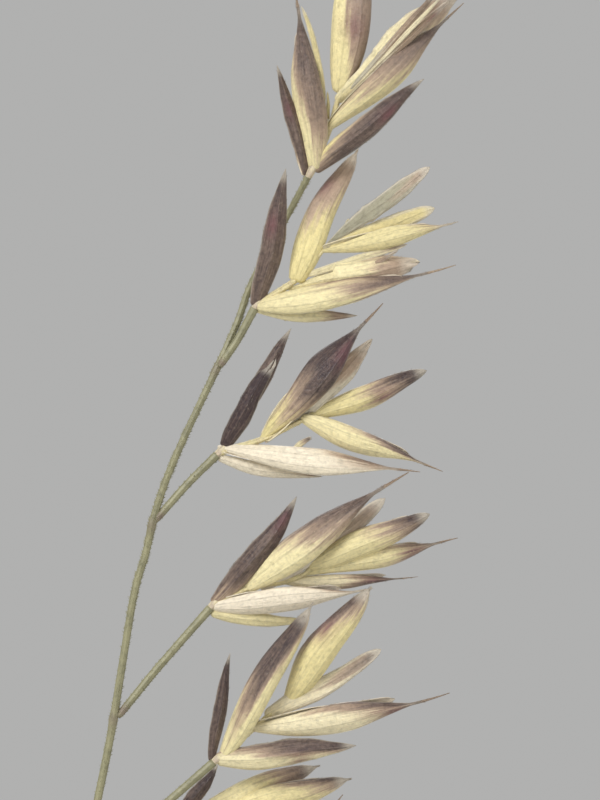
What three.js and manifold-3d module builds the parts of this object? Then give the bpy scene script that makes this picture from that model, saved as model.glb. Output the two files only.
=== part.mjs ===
// Potted shining fescue in flower: a clump of fine, wiry grass in potting soil, in a plain clay pot.
// Leafy shoots stand in three rings round six flowering stems. The tallest stem carries an open
// panicle of violet and straw spikelets, and each of those spikelets is a piece of its own.
// Millimetres, +Z up. The origin is the middle of the pot's underside. Seen from the front, along
// +Y, the tallest panicle leans to the right, towards +X.
import * as THREE from "three";
import { mergeVertices } from "three/addons/utils/BufferGeometryUtils.js";
import Module from "manifold-3d";

const wasm = await Module();
wasm.setup();

// Pot and soil
const POT_HEIGHT = 110;
const POT_BASE_RADIUS = 43;
const POT_SHOULDER_RADIUS = 58.5;
const POT_RIM_RADIUS = 64;
const POT_RIM_DEPTH = 21;
const POT_WALL = 6;
const POT_FLOOR = 8;
const POT_SIDES = 36;
const RIM_ROUNDING = 1.5;
const DRAIN_RADIUS = 5;
const DRAIN_CIRCLE = 24;
const DRAIN_COUNT = 3;
const SOIL_EDGE = 96;
const SOIL_MOUND = 100;
const MOUND_RADIUS = 30;
const CLEARANCE = 0.4;

// Clump: three rings of leafy shoots. Lean is degrees from upright, at a leaf's foot and at its tip.
const SHOOT_RINGS = [
  { radius: 12, count: 6, leaves: 5, turn: 30, foot: [8, 15], tip: [20, 32], length: [150, 182] },
  { radius: 22, count: 8, leaves: 6, turn: 4, foot: [16, 26], tip: [38, 54], length: [138, 166] },
  { radius: 33, count: 9, leaves: 6, turn: 27, foot: [30, 43], tip: [66, 86], length: [108, 136] },
];
const LEAF_RADIUS = 0.42;
const SHOOT_RADIUS = 1.7;
const SHOOT_ABOVE_SOIL = 7;
const ROOTED_DEPTH = 7.5;
const LEAF_ROOT_DEPTH = 3;

// Flowering stems
const STEM_CIRCLE = 5;
const SHEATH_RADIUS = 0.9;
const STEM_RADIUS = 0.5;
const STEM_TOP_RADIUS = 0.3;
const SHEATH_TOP = 0.5;
const SHEATH_STEP = 0.15;
const FLAG_LEAF = { length: 48, footLean: 12, tipLean: 34, turn: 160 };
const PANICLE_FORKS = [0.03, 0.24, 0.44, 0.62, 0.77, 0.89];
const LOWER_SPIKELETS = 2;
const LONGEST_BRANCH = 18;
const SHORTEST_BRANCH = 3;
const PANICLE_NOD = 24;
const OTHER_STEMS = [
  { azimuth: 58, lean: 8, height: 226, panicle: 46, seed: 11 },
  { azimuth: 122, lean: 7, height: 238, panicle: 48, seed: 23 },
  { azimuth: 182, lean: 9, height: 214, panicle: 44, seed: 37 },
  { azimuth: 240, lean: 7.5, height: 198, panicle: 42, seed: 41 },
  { azimuth: 303, lean: 8.5, height: 182, panicle: 40, seed: 59 },
];

// The tallest stem's open panicle is set out in its own upright plane, x to the right and z up, from
// a point in the middle of its upper part.
const OPEN_PANICLE = new THREE.Vector3(57, 0, 380);
const RACHIS_RADIUS = 0.24;
const RACHIS_TOP_RADIUS = 0.15;
const BRANCH_RADIUS = 0.15;
const RACHILLA_RADIUS = 0.17;
const CALLUS_RADIUS = 0.28;
const CALLUS_LENGTH = 1.3;
const TOUCH_GAP = 0.06;
const SEAT_DEPTH = 0.12;
const RACHIS = [
  [-10.5, 0, -30.0],
  [-9.0, 0, -22.9],
  [-7.6, 0, -16.6],
  [-6.7, 0, -12.2],
  [-6.2, 0, -9.7],
  [-5.8, 0, -6.5],
  [-5.0, 0, -4.0],
  [-4.2, 0, -1.4],
  [-3.0, 0.1, 0.9],
  [-2.3, 0.35, 2.6],
  [-1.7, 0.5, 4.1],
  [-0.3, 0.3, 6.5],
  [0.36, 0, 7.84],
];

// A spikelet's two glumes, and its florets' lemmas and paleas, in the order in which they stand on
// it. From the spikelet's foot each starts so far right and up, leans so many degrees from upright
// and out of the spikelet's plane, and bows sideways by a share of its length. awn is the part of the
// length that is only a bristle. A scale's depth is a share of its width, by its kind.
const SCALE_DEPTH = { glume: 0.64, lemma: 0.68, palea: 0.6 };
const LEAST_DEPTH = 0.6;
const SCALE_BASE = 0.12;
const SCALE_BLUNTNESS = 0.94;
const AWN_GIRTH = 0.1;
const OPEN_SPIKELETS = {
  top: [
    { kind: "glume", right: -0.14, up: 0.02, lean: -15, out: 5, long: 3.8, wide: 0.5, bow: 0.01 },
    { kind: "lemma", right: 0.14, up: 0.19, lean: -5, out: 3, long: 6.0, wide: 1.07, bow: 0.01, awn: 0.5 },
    { kind: "lemma", right: 1.07, up: 2.86, lean: 9, out: -6, long: 6.0, wide: 1.3, awn: 0.4 },
    { kind: "lemma", right: 0.63, up: 1.64, lean: 47, out: 7, long: 6.3, wide: 0.85, bow: 0.01, awn: 1 },
    { kind: "palea", right: 1.33, up: 2.99, lean: 38, out: -4, long: 4.6, wide: 0.85, bow: -0.02, awn: 0.2 },
    { kind: "lemma", right: 1.2, up: 2.78, lean: 43, out: 0, long: 5.1, wide: 0.95, awn: 0.3 },
    { kind: "glume", right: 0.2, up: 0.1, lean: 51, out: 12, long: 4.8, wide: 0.74, bow: 0.01 },
  ],
  second: [
    { kind: "glume", right: 0.05, up: 0.05, lean: 12, out: 8, long: 4.75, wide: 0.83, bow: 0.015 },
    { kind: "lemma", right: 1.37, up: 0.91, lean: 25, out: -9, long: 5.0, wide: 0.92, bow: -0.035, awn: 0.2 },
    { kind: "palea", right: 2.43, up: 2.18, lean: 53.5, out: 3, long: 4.4, wide: 0.56 },
    { kind: "palea", right: 2.6, up: 2.0, lean: 69, out: -3, long: 3.7, wide: 0.56 },
    { kind: "lemma", right: 2.27, up: 1.92, lean: 78, out: 6, long: 4.9, wide: 0.62, bow: 0.03, awn: 1 },
    { kind: "lemma", right: 0.1, up: 0, lean: 77.5, out: 8, long: 6.9, wide: 0.92, bow: 0.025, awn: 1.3 },
    { kind: "palea", right: 1.17, up: 0.64, lean: 77, out: 0, long: 4.35, wide: 0.68 },
    { kind: "palea", right: 1.62, up: 1.02, lean: 73, out: -4, long: 3.65, wide: 0.4 },
    { kind: "glume", right: 0.05, up: -0.16, lean: 94, out: 2, long: 3.25, wide: 0.4, bow: 0.026 },
  ],
  third: [
    { kind: "glume", right: 0.17, up: 0.28, lean: 29, out: 6, long: 4.5, wide: 0.68 },
    { kind: "lemma", right: 1.43, up: 0.44, lean: 43, out: 5, long: 6.2, wide: 0.98, bow: -0.015, awn: 1.5 },
    { kind: "palea", right: 1.6, up: 0.6, lean: 47, out: -3, long: 5.1, wide: 0.6, bow: 0.02 },
    { kind: "lemma", right: 3.13, up: 1.29, lean: 69, out: -5, long: 4.4, wide: 0.75, bow: 0.01, awn: 0.2 },
    { kind: "lemma", right: 2.91, up: 1.13, lean: 109, out: 6, long: 5.1, wide: 0.7, bow: 0.02, awn: 0.7 },
    { kind: "lemma", right: 0.06, up: 0.11, lean: 96, out: 7, long: 6.9, wide: 0.9, bow: 0.01, awn: 1 },
    { kind: "glume", right: 0.1, up: -0.22, lean: 101, out: -4, long: 3.3, wide: 0.4, bow: 0.03 },
  ],
  fourth: [
    { kind: "glume", right: 0.06, up: 0.12, lean: 39, out: 6, long: 4.5, wide: 0.75, bow: 0.03 },
    { kind: "lemma", right: 1.25, up: 0.57, lean: 55, out: 9, long: 6.8, wide: 1.15, bow: -0.01, awn: 1.5 },
    { kind: "palea", right: 1.6, up: 0.8, lean: 57, out: -1, long: 5.3, wide: 0.62, bow: 0.02 },
    { kind: "lemma", right: 3.4, up: 1.35, lean: 69, out: 4, long: 4.4, wide: 0.93, awn: 0.2 },
    { kind: "lemma", right: 3.2, up: 1.15, lean: 78, out: -5, long: 5.4, wide: 0.62, bow: 0.02, awn: 0.9 },
    { kind: "lemma", right: 2.49, up: 0.89, lean: 88, out: -8, long: 4.6, wide: 0.42, awn: 0.8 },
    { kind: "lemma", right: 0.06, up: -0.06, lean: 83.5, out: 3, long: 5.5, wide: 0.76, bow: 0.01, awn: 0.4 },
    { kind: "glume", right: 0.06, up: -0.25, lean: 94, out: -7, long: 3.3, wide: 0.4, bow: 0.035 },
  ],
  fifth: [
    { kind: "glume", right: -0.1, up: 0.07, lean: 11, out: 4, long: 3.55, wide: 0.52, bow: 0.01 },
    { kind: "lemma", right: 0.24, up: 0.13, lean: 30, out: 11, long: 5.9, wide: 0.94, bow: -0.01, awn: 0.3 },
    { kind: "lemma", right: 2.35, up: 2.11, lean: 38, out: 14, long: 4.8, wide: 1.02, bow: -0.02, awn: 0.2 },
    { kind: "palea", right: 1.74, up: 1.7, lean: 61.5, out: 4, long: 4.5, wide: 0.55 },
    { kind: "lemma", right: 1.3, up: 1.12, lean: 79, out: 7, long: 6.85, wide: 1.0, bow: 0.03, awn: 1.3 },
    { kind: "glume", right: 0.1, up: 0, lean: 84, out: 5, long: 4.75, wide: 0.88 },
  ],
  sixth: [
    { kind: "glume", right: -0.01, up: 0.03, lean: 37, out: 4, long: 2.2, wide: 0.56 },
    { kind: "lemma", right: 0.34, up: 0.1, lean: 67, out: -9, long: 4.5, wide: 1.03, awn: 0.2 },
    { kind: "lemma", right: 1.6, up: 0.3, lean: 75, out: -3, long: 4.5, wide: 0.97, awn: 0.2 },
    { kind: "lemma", right: 0.9, up: 0.1, lean: 96, out: 6, long: 5.4, wide: 0.95, bow: 0.01, awn: 0.8 },
    { kind: "glume", right: 0.1, up: -0.2, lean: 112, out: 3, long: 4.2, wide: 0.6, bow: 0.02 },
  ],
};

// A closed spikelet's spindle, level by level: half its wide and narrow sides, and its height. Its
// scales' tips stand out between the shoulders.
const SPINDLE_FOOT = { wide: 0.3, deep: 0.3, height: -0.4 };
const SPINDLE_WAIST = { wide: 0.75, deep: 0.45, height: 1.9 };
const SPINDLE_SHOULDER = { wide: 0.42, deep: 0.32, height: 3.4 };
const SPINDLE_HEART = { wide: 0, deep: 0, height: 3.1 };
const SPINDLE_TIPS = [
  { out: [1.3, 2.1], height: [6.2, 7.0] },
  { out: [0.3, 0.7], height: [7.8, 8.6] },
  { out: [1.2, 1.9], height: [5.4, 6.4] },
  { out: [0.9, 1.3], height: [4.2, 4.8] },
];

// Where each spikelet of the open panicle stands: its foot, the fork that its stalk leaves, the way
// its stalk bends between them, and the azimuth that it opens towards. The lowest ones are still
// closed, and lean that way from upright.
const PLACED_SPIKELETS = [
  { form: "top", foot: [0.36, 0, 7.84], opens: 0 },
  { form: "second", foot: [-1.51, 0, 3.26], fork: [-2.85, 0, 1.15], bend: [-2.25, 0, 2.15], opens: 0 },
  { form: "third", foot: [-2.79, 0, -1.78], fork: [-5.05, 0, -4.15], bend: [-4.05, 0, -2.75], opens: 0 },
  { form: "fourth", foot: [-3.03, 0, -7.05], fork: [-6.3, 0, -10.9], bend: [-5.1, 0, -9.15], opens: 0 },
  { form: "fifth", foot: [-2.89, 0, -12.41], fork: [-7.62, 0, -16.6], bend: [-5.6, 0, -14.9], opens: 0 },
  { form: "sixth", foot: [-4.14, 0.9, -14.41], fork: [-5.75, 0, -15.1], bend: [-5.1, 0.6, -15.2], opens: 0 },
  { foot: [-13.6, -2.2, -19.2], fork: [-9.03, 0, -23.0], bend: [-11.2, -1.1, -21.6], opens: 206, lean: 48 },
  { foot: [-12.4, -3.8, -22.6], fork: [-10.4, -0.75, -22.2], bend: [-11.4, -2.4, -22.5], opens: 250, lean: 48 },
  { foot: [-3.6, 4.4, -19.8], fork: [-10.4, 0, -29.6], bend: [-6.6, 2.4, -25.6], opens: 28, lean: 48 },
  { foot: [-3.3, 1.0, -24.2], fork: [-7.35, 1.95, -26.4], bend: [-5.2, 1.7, -25.6], opens: 340, lean: 48 },
  { foot: [-6.6, 5.2, -24.8], fork: [-8.35, 1.35, -27.4], bend: [-7.5, 3.4, -26.4], opens: 75, lean: 48 },
  { foot: [-16.4, 3.6, -22.6], fork: [-10.55, 0, -29.7], bend: [-13.6, 1.8, -26.9], opens: 160, lean: 48 },
  { foot: [-17.6, 0.2, -26.6], fork: [-13.1, 1.5, -27.4], bend: [-15.3, 0.8, -27.3], opens: 188, lean: 48 },
];

const clay = new THREE.MeshStandardMaterial({ color: 0xb5653f, roughness: 0.85, metalness: 0 });
const earth = new THREE.MeshStandardMaterial({ color: 0x3a2a1e, roughness: 1, metalness: 0 });
const leafGreen = new THREE.MeshStandardMaterial({ color: 0x6d8450, roughness: 0.5, metalness: 0 });
const stemStraw = new THREE.MeshStandardMaterial({ color: 0xa9a878, roughness: 0.5, metalness: 0 });
const violetStraw = new THREE.MeshStandardMaterial({ color: 0xa8926f, roughness: 0.4, metalness: 0 });

const UP = new THREE.Vector3(0, 0, 1);

// Even random draws from 0 to 1 that are the same each time for one seed.
function drawsFrom(seed) {
  let state = seed * 7919 + 17;
  return (low = 0, high = 1) => {
    state = (state * 16807) % 2147483647;
    return low + (state / 2147483647) * (high - low);
  };
}

// The unit vector that leans so many degrees from upright towards an azimuth.
function leaning(azimuth, lean) {
  const turn = THREE.MathUtils.degToRad(azimuth);
  const fall = THREE.MathUtils.degToRad(lean);
  return new THREE.Vector3(
    Math.sin(fall) * Math.cos(turn),
    Math.sin(fall) * Math.sin(turn),
    Math.cos(fall),
  );
}

// A closed three.js geometry as a solid that can be joined or cut.
function solidOf(geometry) {
  const bare = geometry.clone().deleteAttribute("normal").deleteAttribute("uv");
  const merged = mergeVertices(bare, 1e-4);
  return new wasm.Manifold(
    new wasm.Mesh({
      numProp: 3,
      vertProperties: merged.attributes.position.array,
      triVerts: new Uint32Array(merged.index.array),
    }),
  );
}

// A joined or cut solid as a named mesh.
function meshOf(name, solid, material) {
  const made = solid.getMesh();
  const geometry = new THREE.BufferGeometry();
  geometry.setAttribute("position", new THREE.BufferAttribute(made.vertProperties, 3));
  geometry.setIndex(new THREE.BufferAttribute(made.triVerts, 1));
  geometry.computeVertexNormals();
  const mesh = new THREE.Mesh(geometry, material);
  mesh.name = name;
  return mesh;
}

function joined(solids) {
  return solids.reduce((whole, solid) => whole.add(solid));
}

// A cylinder or cone whose rings are moved onto a curve. stations are the shares of the curve at
// which the rings stand, across is its wide direction, and halfWidth and halfDepth give its section.
function swept({ curve, stations, sides, across, halfWidth, halfDepth, pointed }) {
  const rings = stations.length - 1;
  const geometry = new THREE.CylinderGeometry(pointed ? 0 : 1, 1, 1, sides, rings);
  const position = geometry.attributes.position;
  for (let i = 0; i < position.count; i += 1) {
    const ring = Math.round((position.getY(i) + 0.5) * rings);
    const share = stations[ring];
    const along = curve.getTangent(share);
    const side = across.clone().addScaledVector(along, -across.dot(along)).normalize();
    const face = side.clone().cross(along);
    const reach = Math.hypot(position.getX(i), position.getZ(i));
    const atRim = reach > 1e-6 ? 1 / reach : 0;
    const point = curve
      .getPoint(share)
      .addScaledVector(side, position.getX(i) * atRim * halfWidth(share))
      .addScaledVector(face, position.getZ(i) * atRim * halfDepth(share));
    position.setXYZ(i, point.x, point.y, point.z);
  }
  return geometry;
}

// A round stalk along a curve, flat at both ends, thinning evenly from its foot to its top.
function stalk(curve, footRadius, topRadius, sides, rings) {
  const radius = (share) => footRadius + (topRadius - footRadius) * share;
  return solidOf(
    swept({
      curve,
      stations: Array.from({ length: rings + 1 }, (_, i) => i / rings),
      sides,
      across: new THREE.Vector3(0, 1, 0.02),
      halfWidth: radius,
      halfDepth: radius,
      pointed: false,
    }),
  );
}

// The pot is thrown clay with a thick rim band and three drain holes.
function pot() {
  const rimFoot = POT_HEIGHT - POT_RIM_DEPTH;
  const innerTop = POT_RIM_RADIUS - POT_WALL;
  const profile = [
    [0, 0],
    [POT_BASE_RADIUS - RIM_ROUNDING, 0],
    [POT_BASE_RADIUS, RIM_ROUNDING],
    [POT_SHOULDER_RADIUS, rimFoot],
    [POT_RIM_RADIUS - 2 * RIM_ROUNDING, rimFoot],
    [POT_RIM_RADIUS - RIM_ROUNDING, rimFoot + RIM_ROUNDING],
    [POT_RIM_RADIUS, POT_HEIGHT - RIM_ROUNDING],
    [POT_RIM_RADIUS - RIM_ROUNDING, POT_HEIGHT],
    [innerTop + RIM_ROUNDING, POT_HEIGHT],
    [innerTop, POT_HEIGHT - RIM_ROUNDING],
    [POT_BASE_RADIUS - POT_WALL, POT_FLOOR],
    [0, POT_FLOOR],
  ].map(([radius, height]) => new THREE.Vector2(radius, height));
  let body = solidOf(new THREE.LatheGeometry(profile, POT_SIDES).rotateX(Math.PI / 2));
  for (let i = 0; i < DRAIN_COUNT; i += 1) {
    const turn = (2 * Math.PI * (i + 0.25)) / DRAIN_COUNT;
    const hole = new THREE.CylinderGeometry(DRAIN_RADIUS, DRAIN_RADIUS, 3 * POT_FLOOR, 12)
      .rotateX(Math.PI / 2)
      .translate(DRAIN_CIRCLE * Math.cos(turn), DRAIN_CIRCLE * Math.sin(turn), 0);
    body = body.subtract(solidOf(hole));
  }
  return body;
}

// The soil's height at a distance from the middle: a low mound that falls to the pot's wall.
function soilHeight(radius) {
  const edge = POT_RIM_RADIUS - POT_WALL - RIM_ROUNDING;
  const fall = THREE.MathUtils.clamp((radius - MOUND_RADIUS) / (edge - MOUND_RADIUS), 0, 1);
  return SOIL_MOUND + (SOIL_EDGE - SOIL_MOUND) * fall;
}

// The soil fills the pot, with a plain hole for each shoot and stem.
function soil(feet) {
  const innerBase = POT_BASE_RADIUS - POT_WALL;
  const innerTop = POT_RIM_RADIUS - POT_WALL;
  const innerRise = (innerTop - innerBase) / (POT_HEIGHT - RIM_ROUNDING - POT_FLOOR);
  const wallAt = (height) => innerBase + innerRise * (height - POT_FLOOR) - CLEARANCE;
  const bottom = POT_FLOOR + CLEARANCE;
  const profile = [
    [0, bottom],
    [wallAt(bottom), bottom],
    [wallAt(SOIL_EDGE), SOIL_EDGE],
    [MOUND_RADIUS, SOIL_MOUND],
    [0, SOIL_MOUND],
  ].map(([radius, height]) => new THREE.Vector2(radius, height));
  let body = solidOf(new THREE.LatheGeometry(profile, POT_SIDES).rotateX(Math.PI / 2));
  for (const { x, y, radius } of feet) {
    const depth = 2 * (ROOTED_DEPTH + CLEARANCE);
    const corner = (radius + CLEARANCE) / Math.cos(Math.PI / 6);
    const hole = new THREE.CylinderGeometry(corner, corner, depth, 6)
      .rotateX(Math.PI / 2)
      .translate(x, y, soilHeight(Math.hypot(x, y)));
    body = body.subtract(solidOf(hole));
  }
  return body;
}

// A leaf rises from its root at one lean and arches to another at its tip. It is folded to a wire,
// so its section is a small triangle.
function leaf(root, azimuth, footLean, tipLean, length) {
  const bend = root.clone().addScaledVector(leaning(azimuth, footLean), length / 2);
  const tip = bend.clone().addScaledVector(leaning(azimuth, tipLean), length / 2);
  const girth = (share) => LEAF_RADIUS * (1 - 0.55 * share * share);
  return solidOf(
    swept({
      curve: new THREE.QuadraticBezierCurve3(root, bend, tip),
      stations: [0, 0.35, 0.7, 1],
      sides: 3,
      across: leaning(azimuth + 90, 90),
      halfWidth: girth,
      halfDepth: girth,
      pointed: true,
    }),
  );
}

// The sheaths that wrap a shoot's or a stem's foot, rooted in the soil.
function sheaths(x, y, radius, above) {
  const ground = soilHeight(Math.hypot(x, y));
  const foot = new THREE.Vector3(x, y, ground - ROOTED_DEPTH);
  const top = new THREE.Vector3(x, y, ground + above);
  return stalk(new THREE.LineCurve3(foot, top), radius, radius * 0.6, 6, 1);
}

// A leafy shoot keeps its leaves in its own sector of the ring, so shoots don't cross.
function leafyShoot(ring, azimuth, seed) {
  const draw = drawsFrom(seed);
  const spot = leaning(azimuth, 90).multiplyScalar(ring.radius);
  const ground = soilHeight(ring.radius);
  const sector = 360 / ring.count;
  const leaves = Array.from({ length: ring.leaves }, (_, i) => {
    const share = (i + draw(0.2, 0.8)) / ring.leaves - 0.5;
    const around = azimuth + share * sector * 0.86;
    const root = leaning(azimuth + 90, 90)
      .multiplyScalar(share * SHOOT_RADIUS)
      .add(spot)
      .setZ(ground + SHOOT_ABOVE_SOIL - LEAF_ROOT_DEPTH);
    return leaf(root, around, draw(...ring.foot), draw(...ring.tip), draw(...ring.length));
  });
  return joined([sheaths(spot.x, spot.y, SHOOT_RADIUS, SHOOT_ABOVE_SOIL), ...leaves]);
}

// A flowering stem's culm: sheathed for its lower half, with a short flag leaf where the sheath ends.
function culm(points, azimuth) {
  const curve = new THREE.CatmullRomCurve3(points, false, "catmullrom", 0.5);
  const girth = (share) =>
    share < SHEATH_TOP
      ? SHEATH_RADIUS + (STEM_RADIUS + SHEATH_STEP - SHEATH_RADIUS) * (share / SHEATH_TOP)
      : STEM_RADIUS + (STEM_TOP_RADIUS - STEM_RADIUS) * ((share - SHEATH_TOP) / (1 - SHEATH_TOP));
  const stem = solidOf(
    swept({
      curve,
      stations: [0, 0.16, 0.32, 0.49, 0.51, 0.67, 0.83, 1],
      sides: 5,
      across: new THREE.Vector3(0, 1, 0.02),
      halfWidth: girth,
      halfDepth: girth,
      pointed: false,
    }),
  );
  const root = curve.getPoint(SHEATH_TOP - 0.012);
  const { length, footLean, tipLean, turn } = FLAG_LEAF;
  return [stem, leaf(root, azimuth + turn, footLean, tipLean, length)];
}

// A glume, lemma or palea: a keeled scale, widest at its middle, that ends in a point or an awn.
function scaleLeaf(start, direction, across, organ) {
  const { kind, long, wide, bow = 0, awn = 0 } = organ;
  const end = start.clone().addScaledVector(direction, long);
  const bend = start
    .clone()
    .addScaledVector(direction, long / 2)
    .addScaledVector(across, 2 * bow * long);
  const bladeShare = 1 - awn / long;
  const girth = (share) => {
    const t = SCALE_BASE + (1 - SCALE_BASE) * Math.min(share / bladeShare, 1);
    return Math.max(Math.sin(Math.PI * Math.pow(t, SCALE_BLUNTNESS)), AWN_GIRTH);
  };
  const depth = Math.max(wide * SCALE_DEPTH[kind], LEAST_DEPTH);
  const stations = awn > 0.3 ? [0, 0.24, 0.62, 0.97, 1] : [0, 0.2, 0.52, 0.86, 1];
  return solidOf(
    swept({
      curve: new THREE.QuadraticBezierCurve3(start, bend, end),
      stations: stations.map((share) => (share < 1 ? share * bladeShare : 1)),
      sides: 4,
      across,
      halfWidth: (share) => (wide / 2) * girth(share),
      halfDepth: (share) => (depth / 2) * girth(share),
      pointed: true,
    }),
  );
}

// An open spikelet: its scales stand on a thin rachilla that starts in a callus on the stalk's end.
function openSpikelet({ form, opens }, foot) {
  const right = leaning(opens, 90);
  const front = leaning(opens - 90, 90);
  const organs = OPEN_SPIKELETS[form];
  const seatOf = (organ) =>
    foot.clone().addScaledVector(right, organ.right).addScaledVector(UP, organ.up);
  const scales = organs.map((organ) => {
    const lean = THREE.MathUtils.degToRad(organ.lean);
    const out = THREE.MathUtils.degToRad(organ.out);
    const inPlane = right.clone().multiplyScalar(Math.sin(lean)).addScaledVector(UP, Math.cos(lean));
    const direction = inPlane
      .clone()
      .multiplyScalar(Math.cos(out))
      .addScaledVector(front, Math.sin(out));
    const across = right.clone().multiplyScalar(Math.cos(lean)).addScaledVector(UP, -Math.sin(lean));
    const start = seatOf(organ).addScaledVector(inPlane, -SEAT_DEPTH);
    const long = organ.long / Math.cos(out) + SEAT_DEPTH;
    return scaleLeaf(start, direction, across, { ...organ, long });
  });
  const reach = (organ) => organ.right + organ.up;
  const seats = organs.filter((organ) => reach(organ) > 0.5).sort((a, b) => reach(a) - reach(b));
  const first = seatOf(seats[0]);
  const last = seatOf(seats[seats.length - 1]);
  const middle = seatOf(seats[Math.floor(seats.length / 2)]);
  const rachilla = stalk(
    new THREE.CatmullRomCurve3([foot.clone(), first, middle, last], false, "catmullrom", 0.5),
    RACHILLA_RADIUS,
    RACHILLA_RADIUS * 0.8,
    3,
    3,
  );
  return [rachilla, ...scales];
}

// A closed spikelet is one spindle whose top parts into the tips of its scales: two florets spread in
// its wide direction, one stands between them in front, and a glume ends lower down behind.
function closedSpikelet(foot, direction, draw) {
  const across = direction.clone().cross(leaning(draw(0, 360), 80)).normalize();
  const face = across.clone().cross(direction);
  const tips = SPINDLE_TIPS.map(({ out, height }) => {
    const reach = draw(...out);
    return { wide: reach, deep: reach, height: draw(...height) };
  });
  const spokes = 2 * tips.length;
  const geometry = new THREE.CylinderGeometry(0, 1, 1, spokes, 3);
  const position = geometry.attributes.position;
  for (let i = 0; i < position.count; i += 1) {
    const x = position.getX(i);
    const z = position.getZ(i);
    const ring = Math.round((position.getY(i) + 0.5) * 3);
    const spoke = Math.round((Math.atan2(z, x) / (2 * Math.PI)) * spokes + spokes) % spokes;
    const top = spoke % 2 ? SPINDLE_SHOULDER : tips[spoke / 2];
    const level = [SPINDLE_FOOT, SPINDLE_WAIST, top, SPINDLE_HEART][ring];
    const reach = Math.hypot(x, z);
    const atRim = reach > 1e-6 ? 1 / reach : 0;
    const point = foot
      .clone()
      .addScaledVector(across, x * atRim * level.wide)
      .addScaledVector(face, z * atRim * level.deep)
      .addScaledVector(direction, level.height);
    position.setXYZ(i, point.x, point.y, point.z);
  }
  return solidOf(geometry);
}

// The hard, short heel on which a spikelet sits on its stalk's end, a hair's breadth clear of it.
function callus(foot, arriving) {
  const heel = foot.clone().addScaledVector(arriving, TOUCH_GAP - CALLUS_LENGTH / 2);
  const crown = foot.clone().addScaledVector(arriving, CALLUS_LENGTH / 2);
  return stalk(new THREE.LineCurve3(heel, crown), CALLUS_RADIUS * 0.8, CALLUS_RADIUS, 4, 1);
}

// A point of the open panicle's own plane, in the plant's frame.
function inPanicle([x, y, z]) {
  return new THREE.Vector3(x, y, z).add(OPEN_PANICLE);
}

// The tallest stem, its rachis and its forked stalks grew as one piece. Its spikelets sit on the
// stalks' flat ends.
function tallestStem(name) {
  const rachisPoints = RACHIS.map(inPanicle);
  const ground = soilHeight(STEM_CIRCLE);
  const base = new THREE.Vector3(STEM_CIRCLE, 0, ground);
  const top = rachisPoints[0];
  const rise = rachisPoints[1].clone().sub(top).normalize();
  const culmPoints = [
    base.clone().setZ(ground - ROOTED_DEPTH),
    base.clone().setZ(ground + 12).setX(base.x + 0.8),
    base.clone().lerp(top, 0.36).setX(base.x + 13.2),
    base.clone().lerp(top, 0.7).setX(base.x + 27.4),
    top.clone().addScaledVector(rise, 0.4),
  ];
  const rachisCurve = new THREE.CatmullRomCurve3(rachisPoints, false, "catmullrom", 0.5);
  const pieces = culm(culmPoints, 0);
  const spikelets = [];
  let rachisEnd = null;
  PLACED_SPIKELETS.forEach((placed, index) => {
    const { foot, fork, bend } = placed;
    const seat = inPanicle(foot);
    const from = fork ? inPanicle(fork) : rachisPoints[rachisPoints.length - 2];
    const through = fork ? inPanicle(bend) : rachisCurve.getPoint(0.985);
    const arriving = seat.clone().sub(through).normalize();
    const end = seat.clone().addScaledVector(arriving, -CALLUS_LENGTH / 2);
    if (fork) {
      const curve = new THREE.CatmullRomCurve3([from, through, end], false, "catmullrom", 0.5);
      pieces.push(stalk(curve, BRANCH_RADIUS * 1.15, BRANCH_RADIUS, 4, 3));
    } else {
      rachisEnd = end;
    }
    const scales = placed.form
      ? openSpikelet(placed, seat)
      : [closedSpikelet(seat, leaning(placed.opens, placed.lean), drawsFrom(index + 71))];
    const solid = joined([callus(seat, arriving), ...scales]);
    const number = String(index + 1).padStart(2, "0");
    spikelets.push(meshOf(`spikelet_${number}`, solid, violetStraw));
  });
  const trimmed = [...rachisPoints.slice(0, -1), rachisEnd];
  const rachis = new THREE.CatmullRomCurve3(trimmed, false, "catmullrom", 0.5);
  pieces.push(stalk(rachis, RACHIS_RADIUS, RACHIS_TOP_RADIUS, 5, 16));
  return [meshOf(name, joined(pieces), stemStraw), ...spikelets];
}

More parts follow.
